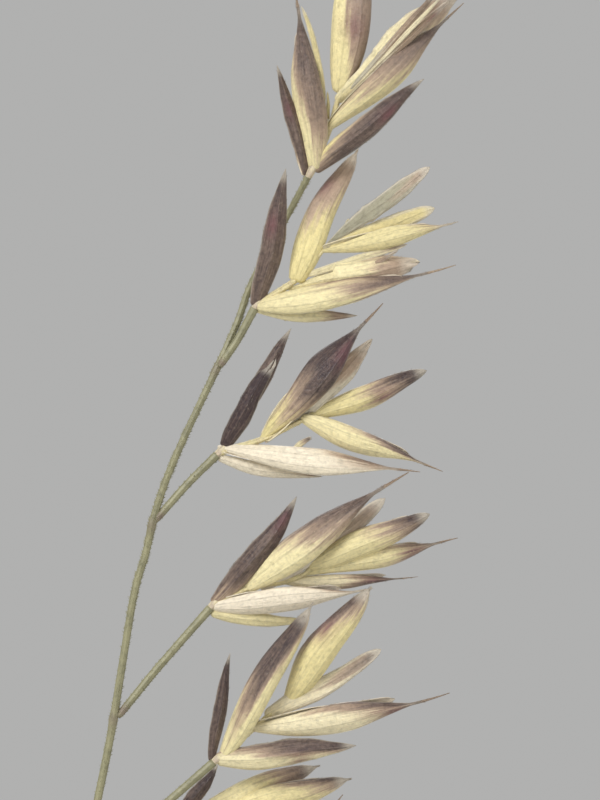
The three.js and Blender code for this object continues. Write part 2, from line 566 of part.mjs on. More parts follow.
// One of the shorter flowering stems, with its whole panicle grown on it.
function floweringStem({ azimuth, lean, height, panicle, seed }, position) {
  const draw = drawsFrom(seed);
  const ground = soilHeight(STEM_CIRCLE);
  const base = leaning(position, 90).multiplyScalar(STEM_CIRCLE).setZ(ground);
  const way = leaning(azimuth, lean);
  const culmTop = base.clone().addScaledVector(way, height - panicle);
  const sag = leaning(azimuth, 90);
  const points = [
    base.clone().setZ(ground - ROOTED_DEPTH),
    base.clone().addScaledVector(way, 10),
    base.clone().addScaledVector(way, (height - panicle) * 0.5).addScaledVector(sag, -1.5),
    culmTop,
  ];
  const pieces = culm(points, azimuth);
  const nodding = leaning(azimuth, lean + PANICLE_NOD);
  const bend = culmTop.clone().addScaledVector(way, panicle * 0.55);
  const tip = bend.clone().addScaledVector(nodding, panicle * 0.45);
  const start = culmTop.clone().addScaledVector(way, -0.5);
  const rachis = new THREE.QuadraticBezierCurve3(start, bend, tip);
  pieces.push(stalk(rachis, RACHIS_RADIUS * 1.25, RACHIS_TOP_RADIUS * 1.2, 4, 5));
  PANICLE_FORKS.forEach((share, i) => {
    const fork = rachis.getPoint(share);
    const length = LONGEST_BRANCH + (SHORTEST_BRANCH - LONGEST_BRANCH) * share;
    const heading = azimuth + (i % 2 ? 62 : -62) + draw(-16, 16);
    const rise = leaning(heading, draw(34, 46));
    const upwards = leaning(heading, draw(16, 28));
    const middle = fork.clone().addScaledVector(rise, length / 2);
    const foot = middle.clone().addScaledVector(upwards, length / 2);
    const rooted = foot.clone().addScaledVector(upwards, 0.5);
    const branch = new THREE.QuadraticBezierCurve3(fork, middle, rooted);
    pieces.push(stalk(branch, BRANCH_RADIUS * 1.3, BRANCH_RADIUS * 1.2, 3, 2));
    pieces.push(closedSpikelet(foot, upwards, draw));
    if (i < LOWER_SPIKELETS) {
      const lower = branch.getPoint(0.35);
      const outwards = leaning(heading + 70, draw(40, 55));
      const lowerFoot = lower.clone().addScaledVector(outwards, 3);
      const lowerRooted = lower.clone().addScaledVector(outwards, 3.5);
      const side = new THREE.LineCurve3(lower, lowerRooted);
      pieces.push(stalk(side, BRANCH_RADIUS * 1.2, BRANCH_RADIUS * 1.2, 3, 1));
      pieces.push(closedSpikelet(lowerFoot, outwards, draw));
    }
  });
  pieces.push(closedSpikelet(tip, nodding, draw));
  return joined(pieces);
}

const plant = new THREE.Group();
plant.name = "potted_shining_fescue";

const shootSpots = SHOOT_RINGS.flatMap((ring, ringIndex) =>
  Array.from({ length: ring.count }, (_, i) => ({
    ring,
    azimuth: ring.turn + (360 * i) / ring.count,
    seed: 100 * (ringIndex + 1) + i,
  })),
);
const stemPositions = [0, 60, 120, 180, 240, 300];
const feet = [
  ...shootSpots.map(({ ring, azimuth }) => {
    const spot = leaning(azimuth, 90).multiplyScalar(ring.radius);
    return { x: spot.x, y: spot.y, radius: SHOOT_RADIUS };
  }),
  ...stemPositions.map((position) => {
    const spot = leaning(position, 90).multiplyScalar(STEM_CIRCLE);
    return { x: spot.x, y: spot.y, radius: SHEATH_RADIUS };
  }),
];

plant.add(meshOf("pot", pot(), clay));
plant.add(meshOf("soil", soil(feet), earth));
shootSpots.forEach(({ ring, azimuth, seed }, i) => {
  const name = `leafy_shoot_${String(i + 1).padStart(2, "0")}`;
  plant.add(meshOf(name, leafyShoot(ring, azimuth, seed), leafGreen));
});
plant.add(...tallestStem("flowering_stem_1"));
OTHER_STEMS.forEach((stem, i) => {
  plant.add(meshOf(`flowering_stem_${i + 2}`, floweringStem(stem, stemPositions[i + 1]), stemStraw));
});

export default plant;
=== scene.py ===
# The looks of a potted shining fescue in flower, made in the order in which it is put together:
# pot, compost, leafy shoots, flowering stems, spikelets, and then the studio round it.
import itertools
import math
import bpy
import numpy as np
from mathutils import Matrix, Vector, noise


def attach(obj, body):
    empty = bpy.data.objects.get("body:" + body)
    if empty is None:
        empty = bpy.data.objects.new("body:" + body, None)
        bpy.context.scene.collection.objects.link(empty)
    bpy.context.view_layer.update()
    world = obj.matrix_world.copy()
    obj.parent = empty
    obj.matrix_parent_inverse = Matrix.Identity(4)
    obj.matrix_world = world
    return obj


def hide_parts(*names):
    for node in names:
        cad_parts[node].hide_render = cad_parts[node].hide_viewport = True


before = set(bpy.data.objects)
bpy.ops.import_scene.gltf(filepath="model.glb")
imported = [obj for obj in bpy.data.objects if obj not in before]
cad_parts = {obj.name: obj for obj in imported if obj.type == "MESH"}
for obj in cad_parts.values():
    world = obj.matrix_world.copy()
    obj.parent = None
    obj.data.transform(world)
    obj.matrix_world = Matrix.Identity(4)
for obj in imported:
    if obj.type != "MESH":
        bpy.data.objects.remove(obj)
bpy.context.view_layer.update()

# Clay pot: thrown from red earthenware and fired without a glaze, with a rolled rim band and three
# drain holes. The wheel leaves faint rings, and lime from the water dries to a pale bloom on it.
# Sizes are in millimetres here and in every section but the studio, and MM turns them to metres.
MM = 0.001
POT_CORNERS = [(0, 0), (43, 0), (58.5, 89), (62.4, 89), (64, 110), (58, 110), (37, 8), (0, 8)]
CORNER_RADII = [0, 1.6, 0.8, 1.2, 1.7, 1.7, 3, 0]
OUTLINE_STEP = 2.0
POT_SIDES = 144
WALL_WAVER = 0.16
LIP_WAVER = 0.1
LIP_HEIGHT = 100
WHEEL_RING = 2.3
WHEEL_RING_DEPTH = 0.05
DRAIN_HOLES = 3
DRAIN_RADIUS = 5
DRAIN_CIRCLE = 24
POT_FLOOR_MIDDLE = 4
DRILL_LENGTH = 20
SAND_GRAIN = 0.5
LIME_PATCH = 17
FIRED_PATCH = 60
DAMP_HEIGHT = 45
CLAY = "#B4643C"
CLAY_PALE = "#CC8A62"
CLAY_DARK = "#8C4527"
LIME = "#D9C9B8"


def linear(code):
    """An sRGB hex colour as linear red, green, blue and alpha."""
    parts = [int(code[i : i + 2], 16) / 255 for i in (1, 3, 5)]
    return [p / 12.92 if p <= 0.04045 else ((p + 0.055) / 1.055) ** 2.4 for p in parts] + [1.0]


def add(material, kind, inputs, **settings):
    """Adds a shader node with its settings. Each input, by name or place, is a value, a hex
    colour, an output to link, or a node, whose first output in use is linked."""
    made = material.node_tree.nodes.new("ShaderNode" + kind)
    for name, value in settings.items():
        setattr(made, name, value)
    for key, value in inputs.items():
        if isinstance(value, bpy.types.Node):
            value = next(output for output in value.outputs if output.enabled)
        if isinstance(value, bpy.types.NodeSocket):
            material.node_tree.links.new(value, made.inputs[key])
        else:
            made.inputs[key].default_value = linear(value) if isinstance(value, str) else value
    return made


def empty_material(name):
    """A new material with no node in it."""
    material = bpy.data.materials.new(name)
    material.use_nodes = True
    material.node_tree.nodes.clear()
    return material


def placed(name, data):
    """A mesh, a lamp or a camera as an object of the scene."""
    made = bpy.data.objects.new(name, data)
    bpy.context.scene.collection.objects.link(made)
    return made


class Growth:
    """Points in millimetres, faces and shader values of one piece, gathered part by part."""

    def __init__(self, *names):
        self.names = names
        self.points = []
        self.faces = []
        self.values = []
        self.count = 0

    def add_points(self, points, faces, **values):
        """Adds points, and faces that count from the first of them."""
        points = np.asarray(points, float).reshape(-1, 3)
        self.faces.extend((np.asarray(faces) + self.count).tolist())
        self.points.append(points)
        rows = [np.broadcast_to(np.ravel(values[n]), len(points)) for n in self.names]
        self.values.append(np.array(rows, float).reshape(len(rows), len(points)))
        self.count += len(points)

    def add_rings(self, rings, **values):
        """A skin over rings of points, closed round each ring and capped at both ends."""
        steps, sides = rings.shape[:2]
        i, j = np.meshgrid(np.arange(steps - 1), np.arange(sides), indexing="ij")
        here, beside = i * sides + j, i * sides + (j + 1) % sides
        quads = np.stack([here, beside, beside + sides, here + sides], -1).reshape(-1, 4)
        spread = {
            n: np.broadcast_to(v if np.ndim(v) != 1 else np.asarray(v)[:, None], (steps, sides))
            for n, v in values.items()
        }
        self.add_points(rings, quads, **spread)
        low = self.count - steps * sides
        self.faces.append(list(range(low + sides - 1, low - 1, -1)))
        self.faces.append(list(range(self.count - sides, self.count)))

    def piece(self, name, material, slot, *nodes, smooth=True):
        """Makes the piece, stands it for its CAD nodes and lets it ride with the plant."""
        mesh = bpy.data.meshes.new(name)
        mesh.from_pydata((np.concatenate(self.points) * MM).tolist(), [], self.faces)
        for n, column in zip(self.names, np.concatenate(self.values, axis=1)):
            mesh.attributes.new(n, "FLOAT", "POINT").data.foreach_set("value", column)
        mesh.polygons.foreach_set("use_smooth", [smooth] * len(mesh.polygons))
        mesh.materials.append(material)
        made = placed(name, mesh)
        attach(made, "root")
        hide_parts(*nodes)
        return made


def rounded(corners, radii, step):
    """An outline with its corners rounded, and its runs cut into steps."""
    path = []
    for i, (corner, radius) in enumerate(zip(corners, radii)):
        here = np.array(corner, float)
        if not radius:
            path.append(here)
            continue
        ends = [np.array(corners[i + side], float) - here for side in (-1, 1)]
        a, b = (here + end / np.linalg.norm(end) * radius for end in ends)
        for t in np.linspace(0, 1, 5):
            path.append(a * (1 - t) ** 2 + 2 * here * t * (1 - t) + b * t * t)
    cut = [path[0]]
    for a, b in zip(path, path[1:]):
        parts = max(1, round(np.linalg.norm(b - a) / step))
        cut += [a + (b - a) * (k + 1) / parts for k in range(parts)]
    return np.array(cut)


def on_circle(radius, turn, height):
    """The point at a radius, a turn in radians and a height round the pot's axis."""
    return (radius * math.cos(turn), radius * math.sin(turn), height)


def red_earthenware():
    """Unglazed red earthenware: dry and matt, with sand grains and a pale bloom of lime, and darker
    where it stands damp."""
    m = empty_material("unglazed_red_earthenware")
    place = add(m, "TexCoord", {}).outputs["Object"]
    height = add(m, "SeparateXYZ", {0: place}).outputs["Z"]
    patches = add(m, "TexNoise", {
        "Vector": place, "Scale": 1 / (LIME_PATCH * MM), "Detail": 5.0, "Roughness": 0.62,
    })
    grains = add(m, "TexVoronoi", {"Vector": place, "Scale": 1 / (SAND_GRAIN * MM)})
    fired = add(m, "TexNoise", {"Vector": place, "Scale": 1 / (FIRED_PATCH * MM), "Detail": 3.0})
    body = add(m, "Mix", {0: fired, 6: CLAY, 7: CLAY_PALE}, data_type="RGBA")
    damp = add(m, "MapRange", {"Value": height, 1: 0.0, 2: DAMP_HEIGHT * MM, 3: 0.75, 4: 0.0})
    rough_damp = add(m, "Math", {0: damp, 1: patches}, operation="MULTIPLY")
    darker = add(m, "Mix", {0: rough_damp, 6: body, 7: CLAY_DARK}, data_type="RGBA")
    bloom = add(m, "ValToRGB", {"Fac": patches})
    bloom.color_ramp.elements[0].position = 0.48
    bloom.color_ramp.elements[1].position = 0.85
    thin = add(m, "Math", {0: bloom, 1: 0.5}, operation="MULTIPLY")
    limed = add(m, "Mix", {0: thin, 6: darker, 7: LIME}, data_type="RGBA")
    speck = add(m, "ValToRGB", {"Fac": grains})
    speck.color_ramp.elements[0].color = (0.72, 0.72, 0.72, 1)
    speck.color_ramp.elements[1].position = 0.35
    sandy = add(m, "Mix", {0: 0.6, 6: limed, 7: speck}, data_type="RGBA", blend_type="MULTIPLY")
    relief = add(m, "Math", {0: grains, 1: patches}, operation="ADD")
    bump = add(m, "Bump", {"Height": relief, "Strength": 0.55, "Distance": 0.15 * MM})
    skin = add(m, "BsdfPrincipled", {
        "Base Color": sandy, "Roughness": 0.88, "IOR": 1.5, "Normal": bump,
    })
    add(m, "OutputMaterial", {"Surface": skin})
    return m


outline = rounded(POT_CORNERS, CORNER_RADII, OUTLINE_STEP)
turns = np.linspace(0, 2 * math.pi, POT_SIDES, endpoint=False)
wheel = np.zeros((len(outline) - 2, POT_SIDES, 3))
for i, (radius, height) in enumerate(outline[1:-1]):
    rings = WHEEL_RING_DEPTH * math.sin(2 * math.pi * height / WHEEL_RING)
    for j, turn in enumerate(turns):
        way = Vector(on_circle(1, turn, height / 60))
        waver = WALL_WAVER * noise.noise(way * 3.1) + rings if height > 2 else 0
        lift = LIP_WAVER * noise.noise(way * 5.3) if height > LIP_HEIGHT else 0
        wheel[i, j] = on_circle(radius + waver, turn, height + lift)
clay_body = Growth()
clay_body.add_rings(wheel)
clay_pot = clay_body.piece("clay_pot", red_earthenware(), "clay", "pot")
for i in range(DRAIN_HOLES):
    turn = 2 * math.pi * (i + 0.25) / DRAIN_HOLES
    bpy.ops.mesh.primitive_cylinder_add(
        vertices=28, radius=DRAIN_RADIUS * MM, depth=DRILL_LENGTH * MM,
        location=on_circle(DRAIN_CIRCLE * MM, turn, POT_FLOOR_MIDDLE * MM),
    )
    drill = bpy.context.object
    cut = clay_pot.modifiers.new("drain", "BOOLEAN")
    cut.object = drill
    cut.solver = "EXACT"
    drilled = bpy.data.meshes.new_from_object(
        clay_pot.evaluated_get(bpy.context.evaluated_depsgraph_get())
    )
    clay_pot.modifiers.clear()
    clay_pot.data = drilled
    bpy.data.objects.remove(drill)

# Compost: peat, fine bark and a little perlite, damp, filling the pot to 14 mm below its rim.
# Crumbs and slivers of bark lie loose on the top.
COMPOST_EDGE = 96
COMPOST_MOUND = 100
MOUND_RADIUS = 30
SLOPE_END_RADIUS = 56.5
COMPOST_RADIUS = 55.2
COMPOST_SHOULDER = 95.5
COMPOST_FOOT_RADIUS = 36.8
COMPOST_FOOT = 8.4
COMPOST_SIDES = 150
COMPOST_RINGS = 72
CRUMBS = 1500
CRUMB_FREE_EDGE = 2.5
CRUMB_SIZES = (0.35, 1.3)
IS_PEAT, IS_BARK, IS_PERLITE = 0.1, 0.5, 0.95
CRUMB_SHARES = [0.72, 0.25, 0.03]
SLIVER_SHAPE = (2.6, 0.8, 0.45)
CRUMB_SHAPE = (1, 0.9, 0.8)
PEAT_FIBRE = 1.4
PEAT = "#2B1D14"
PEAT_DRY = "#54402E"
BARK = "#7A563A"
PERLITE = "#D8D4CA"


def ground(radius):
    """The compost's height at a distance from the middle."""
    fall = np.clip((radius - MOUND_RADIUS) / (SLOPE_END_RADIUS - MOUND_RADIUS), 0, 1)
    return COMPOST_MOUND + (COMPOST_EDGE - COMPOST_MOUND) * fall


def damp_compost():
    """Damp peat and bark: dark and crumbly, with no shine, and pale where it has dried."""
    m = empty_material("damp_peat_compost")
    place = add(m, "TexCoord", {}).outputs["Object"]
    kind = add(m, "Attribute", {}, attribute_name="kind").outputs["Fac"]
    crumb = add(m, "TexNoise", {
        "Vector": place, "Scale": 1 / (PEAT_FIBRE * MM), "Detail": 6.0, "Roughness": 0.7,
    })
    peat = add(m, "Mix", {0: crumb, 6: PEAT, 7: PEAT_DRY}, data_type="RGBA")
    bark = add(m, "MapRange", {"Value": kind, 1: 0.3, 2: 0.6, 3: 0.0, 4: 0.75})
    barky = add(m, "Mix", {0: bark, 6: peat, 7: BARK}, data_type="RGBA")
    white = add(m, "Math", {0: kind, 1: 0.9}, operation="GREATER_THAN")
    mixed = add(m, "Mix", {0: white, 6: barky, 7: PERLITE}, data_type="RGBA")
    bump = add(m, "Bump", {"Height": crumb, "Strength": 0.9, "Distance": 0.5 * MM})
    skin = add(m, "BsdfPrincipled", {
        "Base Color": mixed, "Roughness": 0.93, "IOR": 1.45, "Normal": bump,
    })
    add(m, "OutputMaterial", {"Surface": skin})
    return m


compost = Growth("kind")
levels = [(COMPOST_FOOT_RADIUS, COMPOST_FOOT), (COMPOST_RADIUS, COMPOST_SHOULDER)]
levels += [(radius, None) for radius in np.linspace(COMPOST_RADIUS, 0.4, COMPOST_RINGS)]
turns = np.linspace(0, 2 * math.pi, COMPOST_SIDES, endpoint=False)
heap = np.zeros((len(levels), COMPOST_SIDES, 3))
for i, (radius, height) in enumerate(levels):
    for j, turn in enumerate(turns):
        x, y, _ = on_circle(radius, turn, 0)
        lumps = 0.9 * noise.noise(Vector((x / 3.5, y / 3.5, 1)))
        lumps += 0.5 * noise.noise(Vector((x, y, 7)))
        heap[i, j] = (x, y, ground(radius) + lumps - 0.4 if height is None else height)
compost.add_rings(heap, kind=0.0)
# A crumb starts as a ball of twenty triangles.
golden = (1 + 5**0.5) / 2
signs = list(itertools.product((-1, 1), repeat=2))
ball = [(s, t * golden, 0) for s, t in signs] + [(0, s, t * golden) for s, t in signs]
ball = np.array(ball + [(s * golden, 0, t) for s, t in signs])
ball /= np.linalg.norm(ball[0])
ball_faces = []
for face in itertools.combinations(range(len(ball)), 3):
    a, b, c = ball[list(face)]
    if max(np.linalg.norm(a - b), np.linalg.norm(b - c), np.linalg.norm(a - c)) < 1.1:
        ball_faces.append(face if np.dot(np.cross(b - a, c - a), a) > 0 else face[::-1])
rng = np.random.default_rng(5)
for _ in range(CRUMBS):
    radius = (COMPOST_RADIUS - CRUMB_FREE_EDGE) * rng.random() ** 0.5
    turn = rng.random() * 2 * math.pi
    kind = rng.choice([IS_PEAT, IS_BARK, IS_PERLITE], p=CRUMB_SHARES)
    size = rng.uniform(*CRUMB_SIZES) * (1.0 if kind == IS_PEAT else 1.2)
    stretch = np.array(SLIVER_SHAPE if kind == IS_BARK else CRUMB_SHAPE)
    spin, _ = np.linalg.qr(rng.normal(size=(3, 3)))
    lump = ball * rng.uniform(0.75, 1.2, (len(ball), 1)) * stretch * size
    flat = np.array([1, 1, 0.5]) if kind == IS_BARK else 1
    where = on_circle(radius, turn, ground(radius) + 0.3 * size)
    compost.add_points(lump @ spin * flat + where, ball_faces, kind=kind)
compost.piece("compost", damp_compost(), "potting_soil", "soil", smooth=False)

# Leafy shoots: each is a tuft of wiry leaves, folded almost to a thread, that rise from pale
# sheaths rooted in the compost. A leaf is waxy and green with a straw tip, and the oldest are dead.
# Foot and tip give a leaf's lean at each end, in degrees from upright.
SHOOT_RINGS = [
    {"radius": 12, "count": 6, "turn": 30, "leaves": 5, "more": 20, "dead": 2,
     "foot": (8, 15), "tip": (20, 32), "length": (150, 182)},
    {"radius": 22, "count": 8, "turn": 4, "leaves": 6, "more": 22, "dead": 4,
     "foot": (16, 26), "tip": (38, 54), "length": (138, 166)},
    {"radius": 33, "count": 9, "turn": 27, "leaves": 6, "more": 20, "dead": 8,
     "foot": (30, 43), "tip": (66, 86), "length": (108, 136)},
]
DEAD_LEAVES = {"foot": (40, 64), "tip": (84, 104), "length": (14, 25)}
SHOOT_WIDTH = 1.7
SHOOT_RISE = 4
SHOOT_SPREAD = (0.8, 2.2)
DEAD_CHANCE = 0.04
LEAF_HALF_WIDTH = 0.42
LEAF_POINT = 0.05
LEAF_WAVER = 0.006
SHEATH_WIDENING = 0.3
SHEATH_SHARE = 0.1
FOLDED_SECTION = [
    (-1, 0.1), (-0.75, 0.8), (0, 1.0), (0.75, 0.8), (1, 0.1), (0.45, -0.35), (0, 0.15),
    (-0.45, -0.35),
]
LEAF_VALUES = ("along", "around", "tone", "dead")
LEAF_GREEN = "#7B8E46"
LEAF_DEEP = "#475A2A"
LEAF_WAX = "#A3AE82"
LEAF_STRAW = "#BFA873"
SHEATH_PALE = "#CDBB94"
SHEATH_PINK = "#8E6A66"


def draws_from(seed):
    """Even random draws that are the same each time for one seed."""
    state = [seed * 7919 + 17]

    def draw(low=0.0, high=1.0):
        state[0] = state[0] * 16807 % 2147483647
        return low + state[0] / 2147483647 * (high - low)

    return draw


def leaning(azimuth, lean):
    """The unit vector that leans so many degrees from upright towards an azimuth."""
    turn, fall = math.radians(azimuth), math.radians(lean)
    flat = math.sin(fall)
    return np.array([flat * math.cos(turn), flat * math.sin(turn), math.cos(fall)])


def arched(start, bend, end, shares):
    """A curve that leaves its start towards a bend, and comes from there to its end."""
    t = np.asarray(shares)[:, None]
    return start * (1 - t) ** 2 + 2 * bend * t * (1 - t) + end * t * t


def frames(path, across):
    """Unit vectors along a path, to its wide side and to its back, at each of its points."""
    along = np.gradient(path, axis=0)
    along /= np.linalg.norm(along, axis=1, keepdims=True)
    side = across - (along @ across)[:, None] * along
    side /= np.linalg.norm(side, axis=1, keepdims=True)
    return along, side, np.cross(along, side)


def leaf(growth, root, azimuth, foot_lean, tip_lean, length, tone, dead, steps=13):
    """A folded leaf that rises at one lean and arches to another."""
    bend = root + leaning(azimuth, foot_lean) * length / 2
    tip = bend + leaning(azimuth, tip_lean) * length / 2
    shares = np.linspace(0, 1, steps) ** 1.1
    path = arched(root, bend, tip, shares)
    _, side, back = frames(path, leaning(azimuth + 90, 90))
    waver = LEAF_WAVER * length * np.sin(shares * 7 + tone * 9) * shares
    path = path + side * waver[:, None]
    girth = LEAF_HALF_WIDTH * (1 - 0.55 * shares**2) * np.where(shares > 0.94, 0.6, 1)
    girth = girth + SHEATH_WIDENING * np.clip(1 - shares / SHEATH_SHARE, 0, 1)
    girth[-1] = LEAF_POINT
    section = np.array(FOLDED_SECTION) * (1 + 0.2 * (tone - 0.5))
    wide = side[:, None] * (girth[:, None] * section[:, 0])[..., None]
    deep = back[:, None] * (girth[:, None] * section[:, 1])[..., None]
    around = np.tile(section[:, 0], (steps, 1))
    rings = path[:, None] + wide + deep
    growth.add_rings(rings, along=shares, around=around, tone=tone, dead=dead)


def waxy_leaf():
    """A waxy grass leaf: satin, ribbed lengthwise, pale at the sheath and straw at the tip."""
    m = empty_material("waxy_grass_leaf")
    along, around, tone, dead = (
        add(m, "Attribute", {}, attribute_name=n).outputs["Fac"] for n in LEAF_VALUES
    )
    strand = add(m, "CombineXYZ", {"X": around, "Y": along, "Z": tone})
    # The ribs are drawn about 0.06 mm wide and 6 mm long.
    fibre = add(m, "Mapping", {"Vector": strand, "Scale": (7.0, 26.0, 40.0)})
    grain = add(m, "TexNoise", {"Vector": fibre, "Scale": 1.0, "Detail": 4.0})
    green = add(m, "Mix", {0: tone, 6: LEAF_DEEP, 7: LEAF_GREEN}, data_type="RGBA")
    wax = add(m, "MapRange", {"Value": grain, 1: 0.35, 2: 0.65, 3: 0.1, 4: 0.65})
    waxed = add(m, "Mix", {0: wax, 6: green, 7: LEAF_WAX}, data_type="RGBA")
    tip = add(m, "MapRange", {"Value": along, 1: 0.8, 2: 1.0})
    tipped = add(m, "Mix", {0: tip, 6: waxed, 7: LEAF_STRAW}, data_type="RGBA")
    base = add(m, "MapRange", {"Value": along, 1: 0.04, 2: 0.16, 3: 1.0, 4: 0.0})
    pink = add(m, "Mix", {0: grain, 6: SHEATH_PALE, 7: SHEATH_PINK}, data_type="RGBA")
    based = add(m, "Mix", {0: base, 6: tipped, 7: pink}, data_type="RGBA")
    straw = add(m, "Mix", {0: grain, 6: LEAF_STRAW, 7: SHEATH_PALE}, data_type="RGBA")
    colour = add(m, "Mix", {0: dead, 6: based, 7: straw}, data_type="RGBA")
    rough = add(m, "MapRange", {"Value": grain, 1: 0.3, 2: 0.7, 3: 0.34, 4: 0.5})
    bump = add(m, "Bump", {"Height": grain, "Strength": 0.4, "Distance": 0.05 * MM})
    skin = add(m, "BsdfPrincipled", {
        "Base Color": colour, "Roughness": rough, "IOR": 1.42, "Normal": bump,
    })
    add(m, "OutputMaterial", {"Surface": skin})
    return m


leaf_skin = waxy_leaf()
shoot_number = 0
for ring_number, ring in enumerate(SHOOT_RINGS, 1):
    sector = 360 / ring["count"]
    for i in range(ring["count"]):
        shoot_number += 1
        azimuth = ring["turn"] + sector * i
        draw = draws_from(100 * ring_number + i)
        spot = leaning(azimuth, 90) * ring["radius"]
        spot[2] = ground(ring["radius"]) + SHOOT_RISE
        tuft = Growth(*LEAF_VALUES)
        for k in range(ring["leaves"]):
            share = (k + draw(0.2, 0.8)) / ring["leaves"] - 0.5
            root = spot + leaning(azimuth + 90, 90) * share * SHOOT_WIDTH
            sizes = [draw(*ring[n]) for n in ("foot", "tip", "length")]
            leaf(tuft, root, azimuth + share * sector * 0.86, *sizes, tone=draw(), dead=0)
        for _ in range(ring["more"]):
            around = azimuth + draw(-0.5, 0.5) * sector * 0.92
            root = spot + leaning(draw(0, 360), 90) * draw(0, 1.9) - np.array([0, 0, draw(2, 5)])
            foot_lean = draw(ring["foot"][0] - 3, ring["foot"][1] + 2)
            tip_lean = draw(ring["tip"][0] - 6, ring["tip"][1])
            length = ring["length"][1] * draw(0.5, 0.97)
            tone, dead = draw(), float(draw() < DEAD_CHANCE)
            leaf(tuft, root, around, foot_lean, tip_lean, length, tone, dead)
        for _ in range(ring["dead"]):
            root = spot + leaning(draw(0, 360), 90) * draw(*SHOOT_SPREAD)
            root[2] -= SHOOT_RISE
            around = azimuth + draw(-70, 70)
            sizes = [draw(*DEAD_LEAVES[n]) for n in ("foot", "tip", "length")]
            leaf(tuft, root, around, *sizes, tone=draw(), dead=1, steps=8)
        name = f"{shoot_number:02d}"
        tuft.piece(f"leaf_tuft_{name}", leaf_skin, "leaf", f"leafy_shoot_{name}")

# Flowering stems: a wiry culm in a leaf sheath for its lower half, with swollen joints and a short
# flag leaf. Above it the panicle's axis and stalks are straw green and rough with tiny stiff hairs.
# Points of the tall stem's panicle count from PANICLE, which is the middle of the photograph.
PANICLE = np.array([57.0, 0.0, 380.0])
STEM_CIRCLE = 5
ROOTED_DEPTH = 7.5
SHEATH_TOP = 0.5
SHEATH_RADII = (0.9, 0.65)
CULM_RADII = (0.5, 0.3)
JOINTS = (0.09, 0.27)
FLAG_LEAF = {"turn": 160, "foot_lean": 12, "tip_lean": 34, "length": 48}
RACHIS = [
    (-10.5, 0, -30.0), (-9.0, 0, -22.9), (-7.59, 0, -16.6), (-6.65, 0, -12.2), (-6.22, 0, -9.7),
    (-5.72, 0, -6.7), (-5.32, 0, -5.3), (-5.05, 0, -4.1), (-4.63, 0, -2.8), (-4.04, 0, -1.4),
    (-2.96, 0.1, 0.9), (-2.19, 0.35, 2.6), (-1.64, 0.5, 4.1), (-0.36, 0.3, 6.5), (0.36, 0, 7.84),
]
# A row holds the form of an open spikelet, or None; the spikelet's seat; the fork that its stalk
# leaves and the stalk's bend; and the azimuth that it opens or leans towards.
PLACED_SPIKELETS = [
    ("top", (0.36, 0, 7.84), None, None, 0),
    ("second", (-1.51, 0, 3.26), (-2.78, 0, 1.15), (-2.14, 0, 2.1), 0),
    ("third", (-2.78, 0, -1.81), (-5.03, 0, -4.2), (-3.88, 0, -2.9), 0),
    ("fourth", (-3.01, 0, -7.08), (-6.28, 0, -10.93), (-4.98, 0, -9.33), 0),
    ("fifth", (-2.89, 0, -12.41), (-7.61, 0, -16.6), (-5.67, 0, -14.83), 0),
    ("sixth", (-4.14, 0.9, -14.41), (-5.75, 0, -15.1), (-5.1, 0.6, -15.2), 0),
    (None, (-13.6, -2.2, -19.2), (-9.03, 0, -23.0), (-11.2, -1.1, -21.6), 206),
    (None, (-12.4, -3.8, -22.6), (-10.4, -0.75, -22.2), (-11.4, -2.4, -22.5), 250),
    (None, (-3.6, 4.4, -19.8), (-10.4, 0, -29.6), (-6.6, 2.4, -25.6), 28),
    (None, (-3.3, 1.0, -24.2), (-7.35, 1.95, -26.4), (-5.2, 1.7, -25.6), 340),
    (None, (-6.6, 5.2, -24.8), (-8.35, 1.35, -27.4), (-7.5, 3.4, -26.4), 75),
    (None, (-16.4, 3.6, -22.6), (-10.55, 0, -29.7), (-13.6, 1.8, -26.9), 160),
    (None, (-17.6, 0.2, -26.6), (-13.1, 1.5, -27.4), (-15.3, 0.8, -27.3), 188),
]
RACHIS_RADIUS = 0.162
RACHIS_TAPER = 0.05
RACHIS_FOOT = 0.17
AXIL_PAD = 0.025
STALK_RADIUS = 0.137
STALK_STEPS = 60
HAIRS_PER_MM = 70
HAIR_HALF_WIDTH = 0.013
RACHIS_HAIRS = (0.06, 0.13)
STALK_HAIRS = (0.05, 0.11)
HAIR_FACES = [(0, 1, 3), (1, 2, 3), (2, 0, 3)]
TO_BACK = np.array([0, 1, 0.02])
STEM_VALUES = ("along", "around", "tone", "flush")
STEM_GREEN = "#6E6C54"
STEM_STRAW = "#949070"
STEM_VIOLET = "#6F5558"


def through(points, shares):
    """A smooth curve through points, which passes them at even shares of its run."""
    points = np.asarray(points, float)
    padded = np.vstack([2 * points[0] - points[1], points, 2 * points[-1] - points[-2]])
    where = np.clip(np.asarray(shares) * (len(points) - 1), 0, len(points) - 1 - 1e-9)
    k = where.astype(int)
    t = (where - k)[:, None]
    p0, p1, p2, p3 = (padded[k + n] for n in range(4))
    t0, t1 = (p2 - p0) / 2, (p3 - p1) / 2
    cubic, square = 2 * p1 - 2 * p2 + t0 + t1, -3 * p1 + 3 * p2 - 2 * t0 - t1
    return cubic * t**3 + square * t**2 + t0 * t + p1


def swelling(where, middle, reach):
    """A smooth swelling round a middle: 1 there, and nothing a few reaches away."""
    return np.exp(-(((where - middle) / reach) ** 2))


def tube(growth, path, radii, sides, **values):
    """A round stem along a path."""
    _, side, back = frames(path, TO_BACK)
    a = np.linspace(0, 2 * math.pi, sides, endpoint=False)
    radii = np.broadcast_to(radii, len(path))[:, None, None]
    spokes = side[:, None] * np.cos(a)[:, None] + back[:, None] * np.sin(a)[:, None]
    run = np.concatenate([[0], np.cumsum(np.linalg.norm(np.diff(path, axis=0), axis=1))])
    around = np.tile(np.cos(a), (len(path), 1))
    growth.add_rings(path[:, None] + radii * spokes, along=run, around=around, **values)


